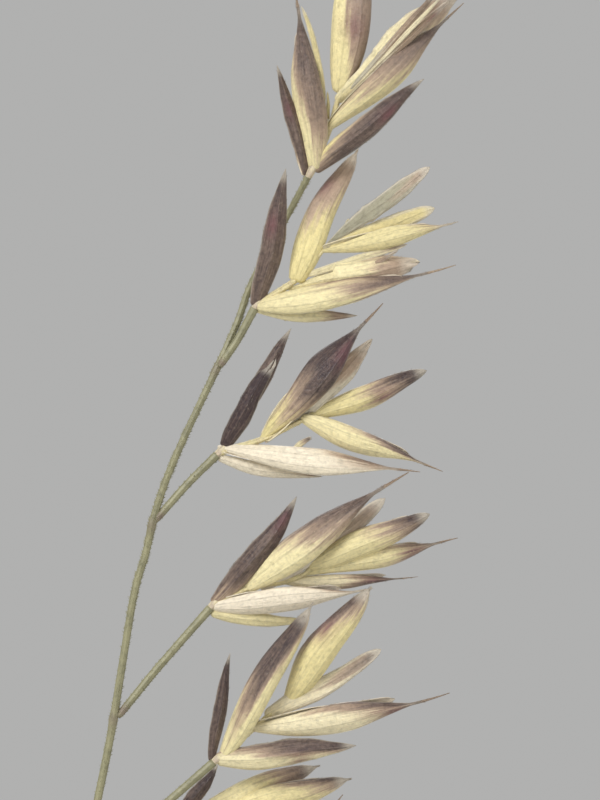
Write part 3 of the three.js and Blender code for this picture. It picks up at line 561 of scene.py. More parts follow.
def bristles(growth, path, radii, per_mm, length, seed, **values):
    """Tiny stiff hairs that stand out from a stem and point up it."""
    rng = np.random.default_rng(seed)
    along, side, back = frames(path, TO_BACK)
    run = np.linalg.norm(np.diff(path, axis=0), axis=1).sum()
    radii = np.broadcast_to(radii, len(path))
    for _ in range(int(run * per_mm)):
        at = rng.random() * (len(path) - 1.001)
        k, t = int(at), at - int(at)
        a = rng.random() * 2 * math.pi
        out = side[k] * math.cos(a) + back[k] * math.sin(a)
        round_it = (back[k] * math.cos(a) - side[k] * math.sin(a)) * HAIR_HALF_WIDTH
        root = path[k] * (1 - t) + path[k + 1] * t + out * radii[k] * 0.9
        tip = root + (out * 0.75 + along[k] * rng.uniform(0.3, 1.1)) * rng.uniform(*length)
        above = root + along[k] * HAIR_HALF_WIDTH * 2
        corners = [root - round_it, root + round_it, above, tip]
        growth.add_points(corners, HAIR_FACES, around=0, **values)


def culm_girth(shares):
    """A culm's radius: stout in its sheath, slender above it, and swollen at its joints."""
    at_foot, at_end = SHEATH_RADII
    sheath = at_foot + (at_end - at_foot) * shares / SHEATH_TOP
    at_foot, at_end = CULM_RADII
    bare = at_foot + (at_end - at_foot) * (shares - SHEATH_TOP) / (1 - SHEATH_TOP)
    joints = sum(0.16 * swelling(shares, at, 0.006) for at in JOINTS)
    return np.where(shares < SHEATH_TOP, sheath, bare) + joints


def culm(growth, points):
    """A culm in its sheath. Gives the place where its flag leaf stands off."""
    # The rings stand closer together at the sheath's top and at the upper joint.
    at_sheath_top, at_joint = np.linspace(0.494, 0.506, 5), np.linspace(0.25, 0.29, 9)
    shares = np.sort(np.concatenate([np.linspace(0, 1, 70), at_sheath_top, at_joint]))
    tone = np.where(shares < SHEATH_TOP, 0.3, 0.7)
    flush = 0.9 * swelling(shares, JOINTS[1], 0.012) + 0.5 * np.clip(1 - shares / 0.08, 0, 1)
    tube(growth, through(points, shares), culm_girth(shares), sides=10, tone=tone, flush=flush)
    return through(points, [SHEATH_TOP - 0.012])[0]


def flag_leaf(name, root, azimuth, tone, node):
    """The one short leaf that stands off a culm where its sheath ends."""
    flag = Growth(*LEAF_VALUES)
    turn, foot_lean, tip_lean, length = FLAG_LEAF.values()
    leaf(flag, root, azimuth + turn, foot_lean, tip_lean, length, tone, dead=0)
    flag.piece(name, leaf_skin, "leaf", node)


def straw_green_stem():
    """A fescue's stem: hard and slightly glossy, finely ribbed, straw green with violet joints."""
    m = empty_material("ribbed_straw_green_stem")
    place = add(m, "TexCoord", {}).outputs["Object"]
    along, around, tone, flush = (
        add(m, "Attribute", {}, attribute_name=n).outputs["Fac"] for n in STEM_VALUES
    )
    # The skin is mottled every 0.3 mm, and streaked along the stem for a millimetre or so. The
    # paler and darker streaks are partly painted highlight and painted shade along the stem.
    mottle = add(m, "TexNoise", {
        "Vector": place, "Scale": 1 / (0.3 * MM), "Detail": 4.0, "Roughness": 0.65,
    })
    skin_place = add(m, "CombineXYZ", {"X": around, "Y": along})
    streaks = add(m, "Mapping", {"Vector": skin_place, "Scale": (4.0, 0.8, 1.0)})
    streak = add(m, "TexNoise", {"Vector": streaks, "Scale": 1.0, "Detail": 4.0, "Roughness": 0.6})
    patch = add(m, "Math", {0: streak, 1: mottle}, operation="ADD")
    # Mottle and streaks, partly painted highlight and shade, turn the green towards straw.
    mottle_and_highlight_streaks = add(m, "MapRange", {"Value": patch, 1: 0.7, 2: 1.1})
    shade = add(m, "Math", {0: tone, 1: mottle_and_highlight_streaks}, operation="MULTIPLY")
    body = add(m, "Mix", {0: shade, 6: STEM_GREEN, 7: STEM_STRAW}, data_type="RGBA")
    colour = add(m, "Mix", {0: flush, 6: body, 7: STEM_VIOLET}, data_type="RGBA")
    # Five ribs show across the stem, which is one every 0.06 mm on the panicle's axis.
    ribs = add(m, "Math", {0: around, 1: 16.0}, operation="MULTIPLY")
    rib = add(m, "Math", {0: ribs}, operation="SINE")
    height = add(m, "Math", {0: rib, 1: mottle}, operation="ADD")
    bump = add(m, "Bump", {"Height": height, "Strength": 0.35, "Distance": 0.02 * MM})
    skin = add(m, "BsdfPrincipled", {
        "Base Color": colour, "Roughness": 0.46, "IOR": 1.45, "Normal": bump,
    })
    add(m, "OutputMaterial", {"Surface": skin})
    return m


stem_skin = straw_green_stem()
rachis_points = [PANICLE + p for p in RACHIS]
stem_foot = np.array([STEM_CIRCLE, 0.0, float(ground(STEM_CIRCLE))])
top = rachis_points[0]
rise = (rachis_points[1] - top) / np.linalg.norm(rachis_points[1] - top)
culm_points = [
    stem_foot - np.array([0, 0, ROOTED_DEPTH]),
    stem_foot + np.array([0.8, 0, 12]),
    (stem_foot * 0.64 + top * 0.36) * [0, 1, 1] + [STEM_CIRCLE + 13.2, 0, 0],
    (stem_foot * 0.3 + top * 0.7) * [0, 1, 1] + [STEM_CIRCLE + 27.4, 0, 0],
    top + rise * 0.1,
]
tall_stem = Growth(*STEM_VALUES)
flag_root = culm(tall_stem, culm_points)
rachis_path = through(rachis_points, np.linspace(0, 0.995, 240))
run = np.linalg.norm(np.diff(rachis_path, axis=0, prepend=rachis_path[:1]), axis=1).cumsum()
forks = [PANICLE + fork for _, _, fork, _, _ in PLACED_SPIKELETS if fork]
fork_runs = [run[np.argmin(np.linalg.norm(rachis_path - fork, axis=1))] for fork in forks]
axils = np.minimum(sum(swelling(run, at - 0.15, 0.28) for at in fork_runs), 1)
radii = RACHIS_RADIUS - RACHIS_TAPER * run / run[-1]
radii = radii + AXIL_PAD * axils + RACHIS_FOOT * np.exp(-run / 1.6)
hairy = {"along": 1, "tone": 2, "flush": 0}
tube(tall_stem, rachis_path, radii, sides=14, tone=0.9, flush=0.3 * axils)
bristles(tall_stem, rachis_path, radii, HAIRS_PER_MM, RACHIS_HAIRS, seed=3, **hairy)
shares = np.linspace(0, 1, STALK_STEPS)
radii = STALK_RADIUS + 0.015 * shares**6 - 0.05 * np.exp(-shares * 25)
arrivals = []
for number, (form, foot, fork, bend, opens) in enumerate(PLACED_SPIKELETS):
    seat = PANICLE + foot
    before = PANICLE + bend if fork else through(rachis_points, [0.985])[0]
    arriving = (seat - before) / np.linalg.norm(seat - before)
    arrivals.append((form, seat, arriving, opens))
    if fork:
        path = through([PANICLE + fork, before, seat - arriving * 0.12], shares)
        flush = 0.55 * swelling(shares, 0.07, 0.06)
        tube(tall_stem, path, radii, sides=12, tone=0.9, flush=flush)
        bristles(tall_stem, path, radii, HAIRS_PER_MM, STALK_HAIRS, seed=10 + number, **hairy)
tall_stem.piece("tall_stem", stem_skin, "stem", "flowering_stem_1")
flag_leaf("tall_stem_flag_leaf", flag_root, 0, 0.6, "flowering_stem_1")

# Spikelets of the tall panicle: papery, shining scales of straw and violet on a thread of an axis.
# Each is two glumes, then florets of a boat-shaped lemma round a thin palea, some with an awn. They
# dry as they ripen, and the whole spikelet breaks off at its heel.
# For each kind of scale: how far it wraps round, in degrees to each side of its keel; how full and
# how deep it is; its keel and its crumples; how wide it starts; and how blunt its tip is.
SCALE_WRAP = {"glume": 78, "torn": 78, "lemma": 118, "palea": 84}
SCALE_FULLNESS = {"glume": 0.9, "torn": 0.7, "lemma": 0.92, "palea": 0.66}
SCALE_DEPTH = {"glume": 0.6, "torn": 0.6, "lemma": 0.72, "palea": 0.42}
KEEL = {"glume": 0.16, "torn": 0.12, "lemma": 0.07, "palea": 0.0}
CRUMPLE = {"glume": 0.03, "torn": 0.05, "lemma": 0.035, "palea": 0.08}
FOOT_SHARE = {"glume": 0.14, "torn": 0.14, "lemma": 0.08, "palea": 0.08}
BLUNTNESS = {"glume": 0.12, "torn": 1.0, "lemma": 0.5, "palea": 0.85}
SCALE_SKIN = 0.035
WIDEST_AT = 0.43
HEEL_SHARES = [0.0, 0.005, 0.013, 0.024]
HEEL_GIRTHS = [0.25, 0.65, 0.88, 1]
HEEL_RADII = [0.1, 0.125, 0.135, 0.14, 0.14, 0.13, 0.11, 0.05]
# A scale whose awn is shorter than this has a blunt, clear tip like one without an awn.
AWNED = 0.4
AWN_GIRTHS = [0.11, 0.03]
AWN_FLUSH = 0.62
VIOLET_RUN = 0.42
STREAK_DEPTH = 0.17
CLEAR_FROM = {"glume": 0.82, "torn": 0.82, "lemma": 0.82, "palea": 0.5}
PRICKLES_PER_MM = 5
PRICKLE_HALF_WIDTH = 0.012
PRICKLE_LENGTHS = (0.03, 0.09)
OVERLAP = 0.12
PALEA_LENGTH = 0.84
PALEA_WIDTH = 0.74
PALEA_FLUSH = (0.6, 0.5, 0.6)
CLOSED_LEAN = 48
CLOSED_ROLL = 62
CLOSED_FLORETS = 4
THREAD_RADII = (0.135, 0.075)
THREAD_HAIRS = (0.04, 0.09)
CHAFF_VALUES = ("along", "around", "violet", "pale", "red", "depth", "warm", "grain")
GREY_GREEN = "#8F8C70"
# Pinkish white is partly the straw's own tint and partly a painted highlight.
PINKISH_STRAW_AND_HIGHLIGHT = "#F8EBD6"
CREAM = "#F3E6B6"
STRAW = "#E9D893"
BEIGE = "#BAA189"
VIOLET_GREY = "#867265"
VIOLET_DARK = "#38272A"
VIOLET_RED = "#74434A"
MEMBRANE = "#E2D8C6"
NERVE = "#4F4536"
# A row holds the scale's kind; its foot, right and up of the seat; its lean and its turn out of the
# plane; its length, width, bow, awn and roll. Then come where violet starts on its left, in its
# middle and on its right, as shares of its length; how deep the violet is and how warm the straw;
# the place of a maroon stain, along and across; and on some rows where the scale is widest.
OPEN_SPIKELETS = {
    "top": [
        ("glume", -0.19, 0.02, -15, 5, 3.8, 0.54, 0.01, 0, 25,
         (0.3, -0.6, -0.6), 0.4, 0.1, (0.6, 0)),
        ("lemma", 0.15, 0.19, -6.7, 3, 6.0, 1.06, 0.01, 0.5, -30,
         (0.8, 0.05, 0.15), 0.28, 0.4, None, 0.41),
        ("palea", 0.43, 2.3, -12.2, 8, 3.5, 0.24, 0.045, 0, 0,
         (1.2, 1.2, 1.2), 0.0, 0.8, None),
        ("palea", 0.62, 1.95, -2, 6, 0.85, 0.13, 0, 0, 0,
         (1.5, 1.5, 1.5), 0.0, 0.9, None),
        ("lemma", 1.03, 2.86, 8.5, -6, 6.0, 1.33, 0, 0.4, -20,
         (1.3, 0.25, -0.2), 0.12, 0.6, (0.4, 0.1)),
        ("lemma", 0.66, 1.53, 47.0, 7, 6.3, 0.86, 0.01, 0.8, 30,
         (0.1, 0.4, 0.7), 0.2, 0.5, None, 0.5),
        ("torn", 1.3, 2.93, 46, -6, 4.7, 0.42, 0, 0, -10,
         (0.7, 0.8, 0.6), 0.0, 0.3, (0.95, 0)),
        ("torn", 1.25, 2.85, 49, 6, 4.5, 0.36, 0.01, 0, 20,
         (0.6, 0.8, 0.8), -0.15, 0.4, (0.95, 0)),
        ("torn", 1.0, 2.5, 45.6, 0, 5.3, 1.3, 0.01, 0, 35,
         (0.8, 0.6, 0.7), -0.25, 0.3, (1.0, 0), 0.6),
        ("glume", 0.2, 0.14, 50.5, 12, 4.8, 0.86, -0.005, 0, 10,
         (0.4, -0.1, -0.2), 0.46, 0.8, (0.66, 0.4), 0.42),
        ("torn", 1.1, 2.62, 42, 16, 4.9, 0.3, 0.01, 0, 10,
         (0.6, 0.35, 0.6), 0.0, -0.5, None, 0.6),
        ("torn", 1.2, 2.62, 44.3, 17, 4.8, 0.2, 0, 0, -15,
         (1.0, 1.0, 1.0), 0, 0.2, None, 0.6),
        ("torn", 1.3, 2.6, 46.8, 15, 4.6, 0.3, -0.01, 0, 20,
         (0.5, 0.5, 0.4), -0.2, 0.1, (0.9, 0), 0.6),
        ("palea", 0.8, 2.18, 25, 8, 0.7, 0.13, 0, 0, 0,
         (1.5, 1.5, 1.5), 0, 0.8, None),
    ],
    "second": [
        ("glume", 0.02, 0.05, 12, 8, 4.75, 0.87, 0.015, 0, 15,
         (-0.5, -0.5, -0.4), 0.4, 0.3, (0.6, -0.3)),
        ("lemma", 1.4, 0.91, 25, -9, 5.0, 1.03, -0.035, 0.2, -20,
         (0.35, 0.45, 0.7), -0.15, 0.8, (0.7, -0.6), 0.36),
        ("palea", 2.47, 2.13, 53.4, 3, 4.4, 0.66, 0, 0, 0,
         (0.9, 0.7, 0.9), 0.1, -0.9, None, 0.62),
        ("palea", 3.08, 2.74, 22, 5, 0.28, 0.12, 0, 0, 0,
         (1.5, 1.5, 1.5), 0.0, 0.4, None),
        ("palea", 2.65, 1.97, 68.4, -3, 3.78, 0.74, 0, 0, 0,
         (1.5, 1.5, 1.5), 0, 1.0, None),
        ("lemma", 2.27, 1.86, 77.5, 6, 4.8, 0.7, 0.01, 0.4, 20,
         (0.75, 0.9, 0.9), 0.3, 0.6, None, 0.57),
        ("lemma", 0.1, 0, 78.2, 8, 6.9, 0.88, 0.022, 1.1, -35,
         (0.35, 0.5, 0.66), 0.35, 0.4, None, 0.41),
        ("torn", 1.17, 0.62, 79.3, 0, 4.3, 1.2, 0, 0, 0,
         (0.75, 0.6, 0.6), -0.2, 0.3, None, 0.72),
        ("palea", 1.62, 1.02, 73, 4, 3.75, 0.3, 0, 0, 0,
         (1.1, 0.7, 1.1), 0.1, 0.3, None),
        ("palea", 2.1, 0.95, 76, 5, 2.6, 0.2, 0, 0, 0,
         (1.1, 0.8, 1.1), 0.1, 0.3, None),
        ("glume", 0.05, -0.18, 92.6, 2, 3.45, 0.47, 0.026, 0, 20,
         (0.65, 0.75, 0.65), 0.3, 0.35, (0.8, 0.3), 0.5),
        ("torn", 2.75, 0.95, 67, 9, 2.1, 0.24, 0.05, 0, 0,
         (0.4, 0.3, 0.4), -0.15, 0.1, None, 0.6),
    ],
    "third": [
        ("torn", 0.25, 0.26, 29, 8, 3.15, 0.72, -0.015, 0, 0,
         (-1.2, -1.2, -1.2), 0.9, 0.1, None),
        ("glume", 0.27, 0.26, 29, 6, 4.58, 0.62, -0.015, 0, 10,
         (-0.3, -0.1, -0.3), 0.5, 0.1, None, 0.55),
        ("lemma", 1.49, 0.46, 41.2, 5, 6.25, 1.12, 0, 0.95, -25,
         (0.26, 0.2, 0.17), 0.75, 0.8, (0.78, 0.5), 0.56),
        ("torn", 1.65, 0.45, 46.8, -3, 4.75, 0.9, 0.02, 0, 0,
         (0.6, 0.55, 0.9), -0.2, -0.3, (0.7, -0.8), 0.68),
        ("lemma", 3.13, 1.19, 67.9, -5, 4.35, 0.8, 0.01, 0, 20,
         (0.45, 0.5, 0.6), 0.65, 0.7, (0.6, 0.5), 0.5),
        ("lemma", 2.91, 1.13, 110.2, 6, 5.1, 0.76, 0.005, 0.7, 35,
         (0.2, 0.85, 0.9), 0.4, 0.4, None, 0.42),
        ("palea", 2.65, 0.2, 57, -2, 0.62, 0.22, 0, 0, 0,
         (0.5, 0.5, 0.5), 0.3, 0.3, None),
        ("lemma", 0.06, 0.17, 96.8, 7, 6.9, 0.86, 0.01, 0.8, -30,
         (0.55, 0.72, 1.0), 0.35, 0.05, None, 0.52),
        ("glume", 0.06, -0.21, 100, -4, 3.55, 0.5, 0.03, 0, 15,
         (1.2, 0.7, 1.3), 0.3, 0.05, None),
    ],
    "fourth": [
        ("glume", 0.06, 0.14, 38.4, 6, 4.6, 0.87, 0.03, 0, 10,
         (-0.2, -0.1, 0.1), 0.55, 0.6, (0.8, 0)),
        ("lemma", 1.25, 0.6, 53.7, 9, 6.8, 1.15, -0.015, 1.1, -20,
         (0.2, 0.48, 0.6), 0.4, 0.4, None),
        ("palea", 1.7, 0.7, 55.1, 1, 5.2, 0.8, 0.02, 0, 0,
         (0.7, 0.6, 0.6), 0.05, -0.2, None),
        ("lemma", 3.4, 1.38, 66.8, 4, 4.45, 0.94, 0, 0, 15,
         (0.45, 0.6, 0.7), 0.6, 0.55, None),
        ("lemma", 3.2, 1.1, 77.3, -5, 5.4, 0.8, 0, 0.7, 20,
         (0.6, 0.75, 0.6), 0.3, 0.5, (0.8, 0.4), 0.58),
        ("lemma", 2.49, 0.82, 87.9, -8, 4.6, 0.5, 0.02, 0.6, 20,
         (0.5, 0.6, 0.4), 0.35, 0.2, (0.75, 0)),
        ("lemma", 0.06, -0.04, 83.5, 3, 5.5, 0.8, 0.01, 0.4, 30,
         (0.6, 1.0, 1.1), 0.35, 0.03, None),
        ("glume", 0.06, -0.27, 94, -7, 3.3, 0.5, 0.035, 0, 15,
         (1.3, 0.9, 1.3), 0.1, 0.4, None),
    ],
    "fifth": [
        ("glume", -0.14, 0.07, 9.8, 4, 3.68, 0.5, -0.01, 0, 20,
         (-0.4, -0.4, -0.4), 0.6, 0.3, None),
        ("lemma", 0.24, 0.13, 30, 11, 6.2, 0.97, -0.01, 0.3, -25,
         (0.3, 0.2, 1.0), 0.6, 0.45, None),
        ("lemma", 2.49, 2.1, 36.4, 14, 4.85, 1.15, -0.02, 0.2, -10,
         (0.3, 0.75, 0.85), 0.4, 0.7, (0.6, -0.5)),
        ("palea", 1.78, 1.6, 60.6, 4, 4.5, 0.72, 0.02, 0, 0,
         (0.9, 0.45, 0.9), 0.1, 0.2, None),
        ("lemma", 1.3, 1.1, 79.5, 7, 6.85, 0.95, 0.03, 1.1, 30,
         (0.25, 0.68, 0.75), 0.45, 0.2, (0.85, 0.5), 0.5),
        ("glume", 0.1, 0.0, 83.4, 5, 4.75, 1.0, 0, 0, 15,
         (-0.1, 0.3, 1.0), 0.5, 0.25, (0.6, 0.8)),
    ],
    "sixth": [
        ("glume", -0.01, 0.03, 37, 4, 2.2, 0.56, 0, 0, 10,
         (-0.4, -0.4, -0.4), 0.65, 0.3, None),
        ("lemma", 0.58, 0.02, 67.5, -9, 4.6, 1.0, 0, 0.2, 20,
         (0.6, 0.55, 0.7), 0.15, 0.5, None),
        ("lemma", 1.6, 0.15, 75.4, -3, 4.5, 0.97, 0, 0.2, 25,
         (0.4, 0.75, 0.85), 0.4, 0.6, None),
        ("lemma", 0.9, 0.1, 96, 6, 5.4, 0.95, 0.01, 0.8, 30,
         (0.5, 0.7, 0.8), 0.4, 0.4, None),
        ("glume", 0.1, -0.2, 112, 3, 4.2, 0.6, 0.02, 0, 15,
         (0.1, 0.3, 0.5), 0.5, 0.3, None),
    ],
}


def scale_girth(kind, shares, blade, awn, widest_at):
    """A scale's half width along it, as a share of the widest."""
    t = np.clip(shares / blade, 0, 1)
    foot = FOOT_SHARE[kind]
    skew = math.log(0.5) / math.log(foot + (1 - foot) * widest_at)
    girth = np.sin(math.pi * (foot + (1 - foot) * t) ** skew) ** SCALE_FULLNESS[kind]
    slow = 1 - 0.42 * np.clip((t - 0.4) / 0.6, 0, 1) ** 1.7
    rounding = np.sqrt(1 - np.clip((t - 0.88) / 0.12, 0, 1) ** 2)
    blunt = BLUNTNESS[kind] if awn < AWNED else 0
    blunted = girth + (np.maximum(girth, slow * rounding) - girth) * blunt
    girth = np.where(t > 0.4, blunted, girth)
    if awn >= AWNED:
        girth = girth * (1 - 0.5 * np.clip((t - 0.6) / 0.4, 0, 1) ** 1.2)
    girth = girth * np.interp(shares, HEEL_SHARES, HEEL_GIRTHS)
    girth = np.maximum(girth, AWN_GIRTHS[0 if awn else 1])
    return np.where(shares > blade, np.interp(shares, [blade, 1], AWN_GIRTHS), girth)


def scale_flush(kind, t, seen, starts, stain, phases):
    """How violet a scale is, streak by streak, and where it has its maroon stain."""
    streaks = (
        0.5 * np.sin(5 * seen + 2 * t + phases[2])
        + 0.3 * np.sin(11 * seen - 6 * t + phases[3])
        + 0.3 * np.sin(19 * seen + 9 * t + phases[4])
    )
    if kind == "torn":
        streaks = 1.4 * streaks + 1.1 * np.sin(27 * seen + 3 * t + phases[5])
    start_at = np.interp(seen, (-1, 0, 1), starts)
    violet = np.clip((t - start_at + 0.1) / VIOLET_RUN + STREAK_DEPTH * streaks, -0.3, 1.2)
    if not stain:
        return violet, np.zeros_like(violet)
    return violet, swelling(t, stain[0], 0.09) * swelling(seen, stain[1], 0.55)


def prickles(growth, path, along, shell, count, rng, violet, **values):
    """Tiny teeth on a scale's keel and edges, which point to its tip."""
    arc = shell.shape[1]
    for _ in range(count):
        k = int(rng.uniform(0.3, 0.98) * (len(path) - 2))
        j = rng.choice([0, arc - 1, arc // 2, arc // 2 + 1])
        root = shell[k, j]
        out = root - path[k]
        out = out / (np.linalg.norm(out) + 1e-9)
        tip = root + (out * 0.5 + along[k] * 1.1) * rng.uniform(*PRICKLE_LENGTHS)
        aside = np.cross(along[k], out) * PRICKLE_HALF_WIDTH
        corners = [root - aside, root + aside, root + along[k] * 0.03, tip]
        look = {"along": 0.5, "around": 0, "pale": 0.3, "red": 0, "grain": 0}
        growth.add_points(corners, HAIR_FACES, violet=violet[k, j] - 0.2, **look, **values)


def scale(growth, start, direction, across, row, seed, steps=40, arc=15):
    """One chaffy scale: a thin boat, keeled along its back, that narrows to a point or an awn."""
    kind, long, wide, bow, awn, roll, starts, depth, warm, stain, *belly = row
    rng = np.random.default_rng(seed)
    phases = rng.uniform(0, 6.28, 6)
    blade = 1 - awn / long
    shares = np.linspace(HEEL_SHARES[3], 1, steps - 3) * blade
    shares = np.concatenate([HEEL_SHARES[:3], shares])
    if awn:
        shares = np.concatenate([shares, blade + (1 - blade) * np.linspace(0.12, 1, 7)])
    bend = start + direction * long / 2 + across * 2 * bow * long
    path = arched(start, bend, start + direction * long, shares)
    along, side, back = frames(path, across)
    path = path + side * (0.035 * wide * np.sin(shares * 9 + phases[0]))[:, None]
    girth = scale_girth(kind, shares, blade, awn, belly[0] if belly else WIDEST_AT)

    t = np.clip(shares / blade, 0, 1)[:, None]
    middle = np.sin(math.pi * t)
    uneven = 1 + 0.04 * np.sin(31 * t + phases[1]) + 0.03 * np.sin(13 * t + phases[2])
    wrap = np.radians(SCALE_WRAP[kind]) * (1 - 0.35 * t**3) * uneven
    theta = np.linspace(-1, 1, arc)[None] * wrap
    keel = 1 + KEEL[kind] * swelling(theta, 0, 0.2) * middle
    nerves = 1 + 0.02 * np.cos(theta * 8) * middle
    nerves = nerves + CRUMPLE[kind] * np.sin(9 * t + 2 * theta + phases[1]) * middle
    x = np.sin(theta) * keel * nerves
    y = -np.cos(theta) * keel * nerves * SCALE_DEPTH[kind]
    y = y - y.mean(axis=1, keepdims=True) * (1 - girth[:, None])
    cos, sin = math.cos(math.radians(roll)), math.sin(math.radians(roll))
    half = wide / 2 / max(abs(cos), abs(sin) * SCALE_DEPTH[kind] * 1.2)
    shells = []
    for thin in (0.0, SCALE_SKIN):
        reach = np.maximum(half * girth - thin * np.minimum(1, girth * 2), 0.004)[:, None]
        u, v = x * reach, y * reach
        u, v = u * cos - v * sin, u * sin + v * cos
        shells.append(path[:, None] + side[:, None] * u[..., None] + back[:, None] * v[..., None])
    if kind == "torn":
        frayed = 0.14 + 0.14 * np.sin(theta[-3:] * 7 + phases[2])
        for shell in shells:
            shell[-3:] += along[-3:, None] * frayed[..., None]

    seen = (x * cos - y * sin) / np.abs(x).max()
    violet, red = scale_flush(kind, t, seen, starts, stain, phases)
    in_awn = shares[:, None] > blade
    if awn > AWNED:
        violet = np.where(in_awn, AWN_FLUSH, violet)
    edge = np.clip((np.abs(np.linspace(-1, 1, arc)[None]) - CLEAR_FROM[kind]) / 0.18, 0, 1)
    tip = np.clip((t - 0.88) / 0.08, 0, 1) * (~in_awn | (awn <= AWNED))
    pale = np.clip(0.75 * edge + (0.4 if awn > AWNED else 0.9) * tip, 0, 1)
    pale = pale + (0.2 if kind == "palea" else 0)
    outer = {"violet": violet, "pale": pale, "red": red, "around": theta}
    inner = {"violet": violet * 0.4, "pale": pale * 0 + 0.8, "red": red * 0.3, "around": theta}
    looks = {n: np.concatenate([outer[n], inner[n][:, ::-1]], axis=1) for n in outer}
    rings = np.concatenate([shells[0], shells[1][:, ::-1]], axis=1)
    looks |= {"along": t * long / 6, "depth": depth + 0.5 * np.clip(shares - 0.45, 0, 1)}
    growth.add_rings(rings, warm=warm, grain=phases[5], **looks)

    if steps > 20:
        count = int(long * PRICKLES_PER_MM)
        prickles(growth, path, along, shells[0], count, rng, violet, depth=depth, warm=warm)


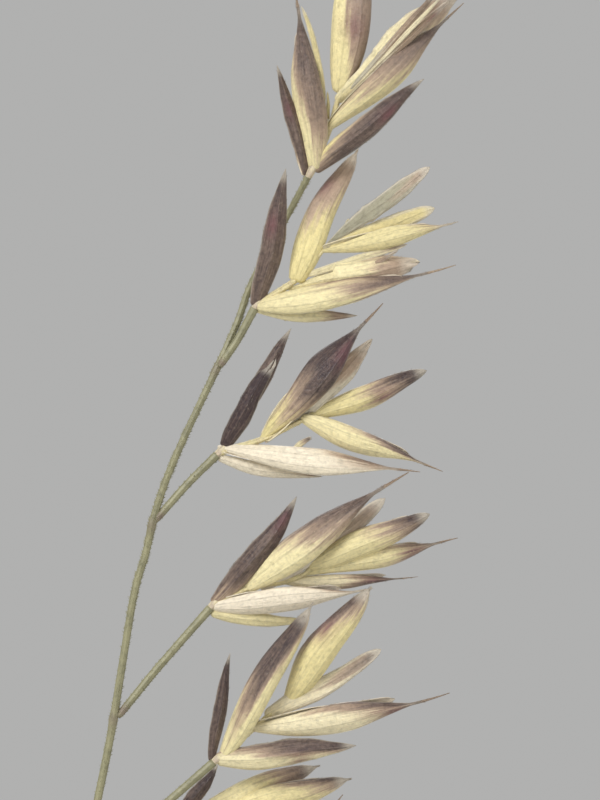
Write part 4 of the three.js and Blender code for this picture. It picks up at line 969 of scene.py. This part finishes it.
def shining_chaff():
    """Ripe fescue chaff: thin, papery and shining, straw flushed with violet between its nerves."""
    m = empty_material("shining_papery_chaff")
    read = {n: add(m, "Attribute", {}, attribute_name=n).outputs["Fac"] for n in CHAFF_VALUES}
    violet, depth, warm, around = (read[n] for n in ("violet", "depth", "warm", "around"))
    place = add(m, "TexCoord", {}).outputs["Object"]
    sheet = add(m, "CombineXYZ", {"X": around, "Y": read["along"], "Z": read["grain"]})
    # Rows of cells run along the scale: about 0.05 mm wide and 0.9 mm long as drawn, where the
    # real ones are 0.02 mm wide. Broader strips between the nerves shade it from side to side.
    cells = add(m, "Mapping", {"Vector": sheet, "Scale": (12.0, 7.0, 9.0)})
    fibre = add(m, "TexNoise", {"Vector": cells, "Scale": 1.0, "Detail": 5.0, "Roughness": 0.7})
    strips = add(m, "Mapping", {"Vector": sheet, "Scale": (3.4, 3.2, 5.0)})
    strip = add(m, "TexNoise", {"Vector": strips, "Scale": 1.0, "Detail": 3.0, "Roughness": 0.5})
    speckle = add(m, "TexNoise", {
        "Vector": place, "Scale": 1 / (0.12 * MM), "Detail": 3.0, "Roughness": 0.6,
    })
    # Straw: grey green where it is least warm, then pinkish white, cream and yellow straw. The
    # pinkish white is partly a painted highlight: the bright shine of the scales' bases, given to
    # whole scales of little warmth.
    body = GREY_GREEN
    for low, high, warmer in ((-1.0, 0.0, PINKISH_STRAW_AND_HIGHLIGHT), (0.0, 0.3, CREAM), (0.3, 1.0, STRAW)):
        share = add(m, "MapRange", {"Value": warm, 1: low, 2: high})
        body = add(m, "Mix", {0: share, 6: body, 7: warmer}, data_type="RGBA")
    # Violet: the straw browns first, and then turns, lighter or darker from cell to cell.
    mottle = add(m, "MapRange", {"Value": fibre, 1: 0.35, 2: 0.65, 3: 0.25, 4: -0.25})
    drift = add(m, "Math", {0: depth, 1: mottle}, operation="ADD")
    deep = add(m, "MapRange", {"Value": strip, 1: 0.3, 2: 0.7, 3: 0.22, 4: -0.22})
    net = add(m, "MapRange", {"Value": speckle, 1: 0.35, 2: 0.65, 3: 0.15, 4: -0.15})
    deeper = add(m, "Math", {0: deep, 1: net}, operation="ADD")
    darks = add(m, "Math", {0: drift, 1: deeper}, operation="ADD", use_clamp=True)
    purple = add(m, "Mix", {0: darks, 6: VIOLET_GREY, 7: VIOLET_DARK}, data_type="RGBA")
    shift = add(m, "MapRange", {"Value": fibre, 1: 0.3, 2: 0.7, 3: -0.2, 4: 0.2})
    sway = add(m, "MapRange", {"Value": strip, 1: 0.3, 2: 0.7, 3: -0.24, 4: 0.24})
    shifted = add(m, "Math", {0: violet, 1: shift}, operation="ADD")
    flush = add(m, "Math", {0: shifted, 1: sway}, operation="ADD", use_clamp=True)
    to_beige = add(m, "MapRange", {"Value": flush, 1: 0.0, 2: 0.5})
    body = add(m, "Mix", {0: to_beige, 6: body, 7: BEIGE}, data_type="RGBA")
    to_violet = add(m, "MapRange", {"Value": flush, 1: 0.4, 2: 1.0})
    reach = add(m, "MapRange", {"Value": depth, 1: 0.0, 2: 0.35, 3: 0.2, 4: 1.0})
    far = add(m, "Math", {0: to_violet, 1: reach}, operation="MULTIPLY")
    body = add(m, "Mix", {0: far, 6: body, 7: purple}, data_type="RGBA")
    patchy = add(m, "Math", {0: strip, 1: 1.2}, operation="MULTIPLY")
    stain = add(m, "Math", {0: read["red"], 1: patchy}, operation="MULTIPLY", use_clamp=True)
    body = add(m, "Mix", {0: stain, 6: body, 7: VIOLET_RED}, data_type="RGBA")
    # Nerves, broken here and there, and the clear membrane at the edges and the tip.
    wave = add(m, "Math", {0: around, 1: 8.0}, operation="MULTIPLY")
    crest = add(m, "Math", {0: wave}, operation="COSINE")
    nerve = add(m, "MapRange", {"Value": crest, 1: 0.8, 2: 1.0, 3: 0.0, 4: 0.3})
    broken = add(m, "Math", {0: nerve, 1: strip}, operation="MULTIPLY")
    body = add(m, "Mix", {0: broken, 6: body, 7: NERVE}, data_type="RGBA")
    clear = add(m, "Math", {0: read["pale"], 1: 0.7}, operation="MULTIPLY", use_clamp=True)
    body = add(m, "Mix", {0: clear, 6: body, 7: MEMBRANE}, data_type="RGBA")
    # The ripening grain's shadow, seen through the thin lemma, is painted as dark flecks about 0.25
    # mm apart.
    rows = add(m, "Mapping", {"Vector": sheet, "Scale": (3.0, 24.0, 7.0)})
    fleck = add(m, "TexNoise", {"Vector": rows, "Scale": 1.0, "Detail": 2.0})
    grain_shadow = add(m, "MapRange", {"Value": fleck, 1: 0.52, 2: 0.72, 3: 1.0, 4: 0.8})
    grey = add(m, "MapRange", {"Value": fibre, 1: 0.3, 2: 0.7, 3: 0.84, 4: 1.06})
    dusty = add(m, "MapRange", {"Value": speckle, 1: 0.3, 2: 0.7, 3: 0.88, 4: 1.06})
    # Dust speckle and the painted grain shadow together darken the colour.
    dust_and_grain_shadow = add(m, "Math", {0: dusty, 1: grain_shadow}, operation="MULTIPLY")
    shade = add(m, "Math", {0: grey, 1: dust_and_grain_shadow}, operation="MULTIPLY")
    colour = add(m, "VectorMath", {0: body, "Scale": shade}, operation="SCALE")
    uneven = add(m, "Math", {0: fibre, 1: speckle}, operation="ADD")
    height = add(m, "Math", {0: uneven, 1: nerve}, operation="ADD")
    bump = add(m, "Bump", {"Height": height, "Strength": 0.7, "Distance": 0.06 * MM})
    rough = add(m, "MapRange", {"Value": fibre, 1: 0.3, 2: 0.7, 3: 0.26, 4: 0.44})
    skin = add(m, "BsdfPrincipled", {
        "Base Color": colour, "Roughness": rough, "IOR": 1.48, "Normal": bump,
    })
    add(m, "OutputMaterial", {"Surface": skin})
    return m


def heel(growth, seat, arriving):
    """The hard heel on which a spikelet sits on its stalk."""
    path = seat + np.linspace(-0.22, 0.35, len(HEEL_RADII))[:, None] * arriving
    look = {"violet": 0.3, "pale": 0.5, "red": 0.0, "depth": 0.2, "warm": 0.5, "grain": 1.0}
    tube(growth, path, HEEL_RADII, sides=12, **look)


def open_spikelet(growth, form, seat, opens, seed):
    """A spread spikelet, its florets standing on their rachilla."""
    right, front, up = leaning(opens, 90), leaning(opens - 90, 90), np.array([0, 0, 1.0])
    seats = []
    for n, (kind, r, u, lean, out, long, wide, bow, awn, *looks) in enumerate(OPEN_SPIKELETS[form]):
        base = seat + right * r + up * u
        lean, out = math.radians(lean), math.radians(out)
        in_plane = right * math.sin(lean) + up * math.cos(lean)
        direction = in_plane * math.cos(out) + front * math.sin(out)
        across = right * math.cos(lean) - up * math.sin(lean)
        full = long / math.cos(out) + OVERLAP
        start = base - in_plane * OVERLAP
        scale(growth, start, direction, across, (kind, full, wide, bow, awn, *looks), seed + n)
        if kind != "lemma":
            continue
        # The palea faces its lemma, and stands a little off towards the lemma's open side.
        roll, warm = looks[0], looks[3]
        size = ((full - awn) * PALEA_LENGTH, wide * PALEA_WIDTH, bow, 0)
        palea = ("palea", *size, roll + 180, PALEA_FLUSH, 0.1, warm, None)
        aside = across * (-0.18 * wide if roll > 0 else 0)
        start = start + direction * 0.15 + aside * 0.6
        direction = direction + aside / full * 0.3
        scale(growth, start, direction, across, palea, seed + n + 50, steps=26, arc=9)
        if r + u > 0.5:
            seats.append((r + u, base))
    order = [seat] + [base for _, base in sorted(seats, key=lambda s: s[0])]
    kept = [order[0]] + [b for a, b in zip(order, order[1:]) if np.linalg.norm(b - a) > 0.25]
    path = through(kept, np.linspace(0, 1, 40))
    radii = np.linspace(*THREAD_RADII, len(path))
    look = {"violet": 0.0, "pale": 0.1, "red": 0.0, "depth": 0.2, "warm": 0.6, "grain": 1.0}
    tube(growth, path, radii, sides=8, **look)
    bristles(growth, path, radii, per_mm=60, length=THREAD_HAIRS, seed=seed, along=1, **look)


def closed_spikelet(growth, foot, direction, draw, seed, steps, arc):
    """A closed spikelet: glumes and florets packed left and right of a short axis, turned any way
    round it."""
    across = np.cross(direction, leaning(draw(0, 360), 80))
    across /= np.linalg.norm(across)
    for _ in range(8):
        draw()  # the solid spikelet's own eight draws
    rng = np.random.default_rng(seed)
    face = np.cross(direction, across)
    # A row holds a scale's kind, place along the axis, side, turn, length, width and awn.
    rows = [("glume", 0.0, -1, 17, 3.5, 0.7, 0), ("glume", 0.15, 1, 15, 4.7, 0.85, 0)]
    for k in range(CLOSED_FLORETS):
        rows.append(("lemma", 0.5 + 0.85 * k, (-1) ** (k + 1), 11 - 2 * k, 6.4 - 0.2 * k, 0.9, 1.0))
    for n, (kind, at, hand, turn, long, wide, awn) in enumerate(rows):
        angle = math.radians(hand * turn + rng.uniform(-3, 3))
        pointing = direction * math.cos(angle) + across * math.sin(angle)
        sideways = across * math.cos(angle) - direction * math.sin(angle)
        pointing = pointing + face * rng.uniform(-0.05, 0.05)
        pointing /= np.linalg.norm(pointing)
        start = foot + direction * at + across * hand * (0.2 if kind == "glume" else 0.08)
        violet = -0.3 if kind == "glume" else rng.uniform(0.3, 0.6)
        starts = (violet - 0.15 * hand, violet, violet + 0.15 * hand)
        looks = (hand * CLOSED_ROLL, starts, rng.uniform(0.2, 0.7), rng.uniform(0.2, 0.9), None)
        row = (kind, long, wide, 0.01 * hand, awn, *looks)
        scale(growth, start, pointing, sideways, row, seed * 31 + n, steps, arc)


chaff_skin = shining_chaff()
for number, (form, seat, arriving, opens) in enumerate(arrivals, 1):
    spikelet = Growth(*CHAFF_VALUES)
    heel(spikelet, seat, arriving)
    if form:
        open_spikelet(spikelet, form, seat, opens, 100 * number)
    else:
        draw = draws_from(number + 70)
        way = leaning(opens, CLOSED_LEAN)
        closed_spikelet(spikelet, seat, way, draw, 900 + number, steps=20, arc=9)
    name = f"spikelet_{number:02d}"
    spikelet.piece(f"chaffy_{name}", chaff_skin, "spikelet", name)

# Shorter flowering stems: the same growth as the tall one, each with a smaller panicle whose
# spikelets are still closed.
OTHER_STEMS = [
    {"azimuth": 58, "lean": 8, "height": 226, "panicle": 46, "seed": 11},
    {"azimuth": 122, "lean": 7, "height": 238, "panicle": 48, "seed": 23},
    {"azimuth": 182, "lean": 9, "height": 214, "panicle": 44, "seed": 37},
    {"azimuth": 240, "lean": 7.5, "height": 198, "panicle": 42, "seed": 41},
    {"azimuth": 303, "lean": 8.5, "height": 182, "panicle": 40, "seed": 59},
]
PANICLE_FORKS = [0.03, 0.24, 0.44, 0.62, 0.77, 0.89]
LOWER_FORKS = 2
AXIS_RADII = (0.28, 0.17)
BRANCH_RADIUS = 0.17
BRANCH_LENGTHS = (18, 3)
BRANCH_TURN = 62
BRANCH_LEANS = (34, 46)
BRANCH_TIP_LEANS = (16, 28)
TWIG_RADIUS = 0.15
TWIG_LENGTH = 3
TWIG_TURN = 70
TWIG_LEANS = (40, 55)
NOD = 24
for number, stem in enumerate(OTHER_STEMS, 2):
    draw = draws_from(stem["seed"])
    azimuth, lean = stem["azimuth"], stem["lean"]
    base = leaning(60 * (number - 1), 90) * STEM_CIRCLE
    base[2] = ground(STEM_CIRCLE)
    way = leaning(azimuth, lean)
    bare = stem["height"] - stem["panicle"]
    top = base + way * bare
    stalks = Growth(*STEM_VALUES)
    heads = Growth(*CHAFF_VALUES)
    half_way = base + way * bare / 2 - leaning(azimuth, 90) * 1.5
    foot = base - np.array([0, 0, ROOTED_DEPTH])
    flag_root = culm(stalks, [foot, base + way * 10, half_way, top])
    nodding = leaning(azimuth, lean + NOD)
    bend = top + way * stem["panicle"] * 0.55
    tip = bend + nodding * stem["panicle"] * 0.45
    axis = (top - way * 0.5, bend, tip)
    shares = np.linspace(0, 1, 30)
    radii = np.linspace(*AXIS_RADII, len(shares))
    tube(stalks, arched(*axis, shares), radii, sides=8, tone=0.8, flush=0.0)
    for i, share in enumerate(PANICLE_FORKS):
        fork = arched(*axis, [share])[0]
        longest, shortest = BRANCH_LENGTHS
        length = longest - (longest - shortest) * share
        heading = azimuth + (BRANCH_TURN if i % 2 else -BRANCH_TURN) + draw(-16, 16)
        rising = leaning(heading, draw(*BRANCH_LEANS))
        upwards = leaning(heading, draw(*BRANCH_TIP_LEANS))
        middle = fork + rising * length / 2
        foot = middle + upwards * length / 2
        branch = (fork, middle, foot + upwards * 0.5)
        run = arched(*branch, np.linspace(0, 1, 12))
        tube(stalks, run, BRANCH_RADIUS, sides=6, tone=0.8, flush=0.0)
        closed_spikelet(heads, foot, upwards, draw, 1000 * number + i, steps=11, arc=6)
        if i < LOWER_FORKS:
            lower = arched(*branch, [0.35])[0]
            outwards = leaning(heading + TWIG_TURN, draw(*TWIG_LEANS))
            twig = lower + np.linspace(0, TWIG_LENGTH + 0.5, 5)[:, None] * outwards
            tube(stalks, twig, TWIG_RADIUS, sides=6, tone=0.8, flush=0.0)
            foot = lower + outwards * TWIG_LENGTH
            seed = 1000 * number + 20 + i
            closed_spikelet(heads, foot, outwards, draw, seed, steps=11, arc=6)
    closed_spikelet(heads, tip, nodding, draw, 1000 * number + 40, steps=11, arc=6)
    node = f"flowering_stem_{number}"
    stalks.piece(f"stem_{number}", stem_skin, "stem", node)
    heads.piece(f"stem_{number}_spikelets", chaff_skin, "spikelet", node)
    flag_leaf(f"stem_{number}_flag_leaf", flag_root, azimuth, 0.5, node)

# Studio: a pale matt floor, a pale even room, and soft lamps from the front left, the right and
# behind. The camera frames the part of the tall panicle that the photograph shows, from so far that
# nothing looks nearer than the rest. The floor and the lamps are placed in metres.
FLOOR_RADIUS = 3.2
FLOOR_SIDES = 96
ROOM = "#D2D2D1"
ROOM_BRIGHTNESS = 0.68
PAPER_PALE = "#D6D6D2"
PAPER_PALEST = "#DEDEDA"
LAMPS = [
    ("front_left", (-1.6, -2.2, 2.3), 1.5, 96),
    ("right", (2.4, -1.1, 1.6), 1.8, 22),
    ("behind", (0.2, 2.4, 2.2), 1.8, 28),
]
SENSOR = 36
# The photograph is 800 pixels high, at 29 pixels a millimetre.
PHOTO_HEIGHT = 800 / 29
CAMERA_DISTANCE = 300


def matt_paper():
    """Matt studio paper: pale and even, with no shine, and a faint change of tint every 0.1 m."""
    m = empty_material("pale_matt_paper")
    spread = add(m, "TexNoise", {"Scale": 9.0, "Detail": 2.0})
    tint = add(m, "Mix", {0: spread, 6: PAPER_PALE, 7: PAPER_PALEST}, data_type="RGBA")
    skin = add(m, "BsdfPrincipled", {"Base Color": tint, "Roughness": 0.9})
    add(m, "OutputMaterial", {"Surface": skin})
    return m


turns = np.linspace(0, 2 * math.pi, FLOOR_SIDES, endpoint=False)
disc = bpy.data.meshes.new("floor")
disc.from_pydata([on_circle(FLOOR_RADIUS, t, 0) for t in turns], [], [list(range(FLOOR_SIDES))])
disc.materials.append(matt_paper())
floor = placed("floor", disc)
room = bpy.data.worlds.new("pale_room")
room.use_nodes = True
room.node_tree.nodes["Background"].inputs["Color"].default_value = linear(ROOM)
room.node_tree.nodes["Background"].inputs["Strength"].default_value = ROOM_BRIGHTNESS
bpy.context.scene.world = room
bpy.context.scene.view_settings.view_transform = "Standard"
aim = Vector(PANICLE * MM) * 0.8
for name, where, size, power in LAMPS:
    lamp = bpy.data.lights.new(name, "AREA")
    lamp.size = size
    lamp.energy = power
    made = placed(name, lamp)
    made.location = where
    made.rotation_euler = (aim - Vector(where)).to_track_quat("-Z", "Y").to_euler()
eye = bpy.data.cameras.new("camera")
eye.sensor_width = SENSOR
eye.lens = SENSOR * CAMERA_DISTANCE / PHOTO_HEIGHT
eye.clip_start = 0.01
eye.clip_end = 50
camera = placed("camera", eye)
camera.location = Vector(PANICLE * MM) - Vector((0, CAMERA_DISTANCE * MM, 0))
camera.rotation_euler = (math.pi / 2, 0, 0)
bpy.context.scene.camera = camera
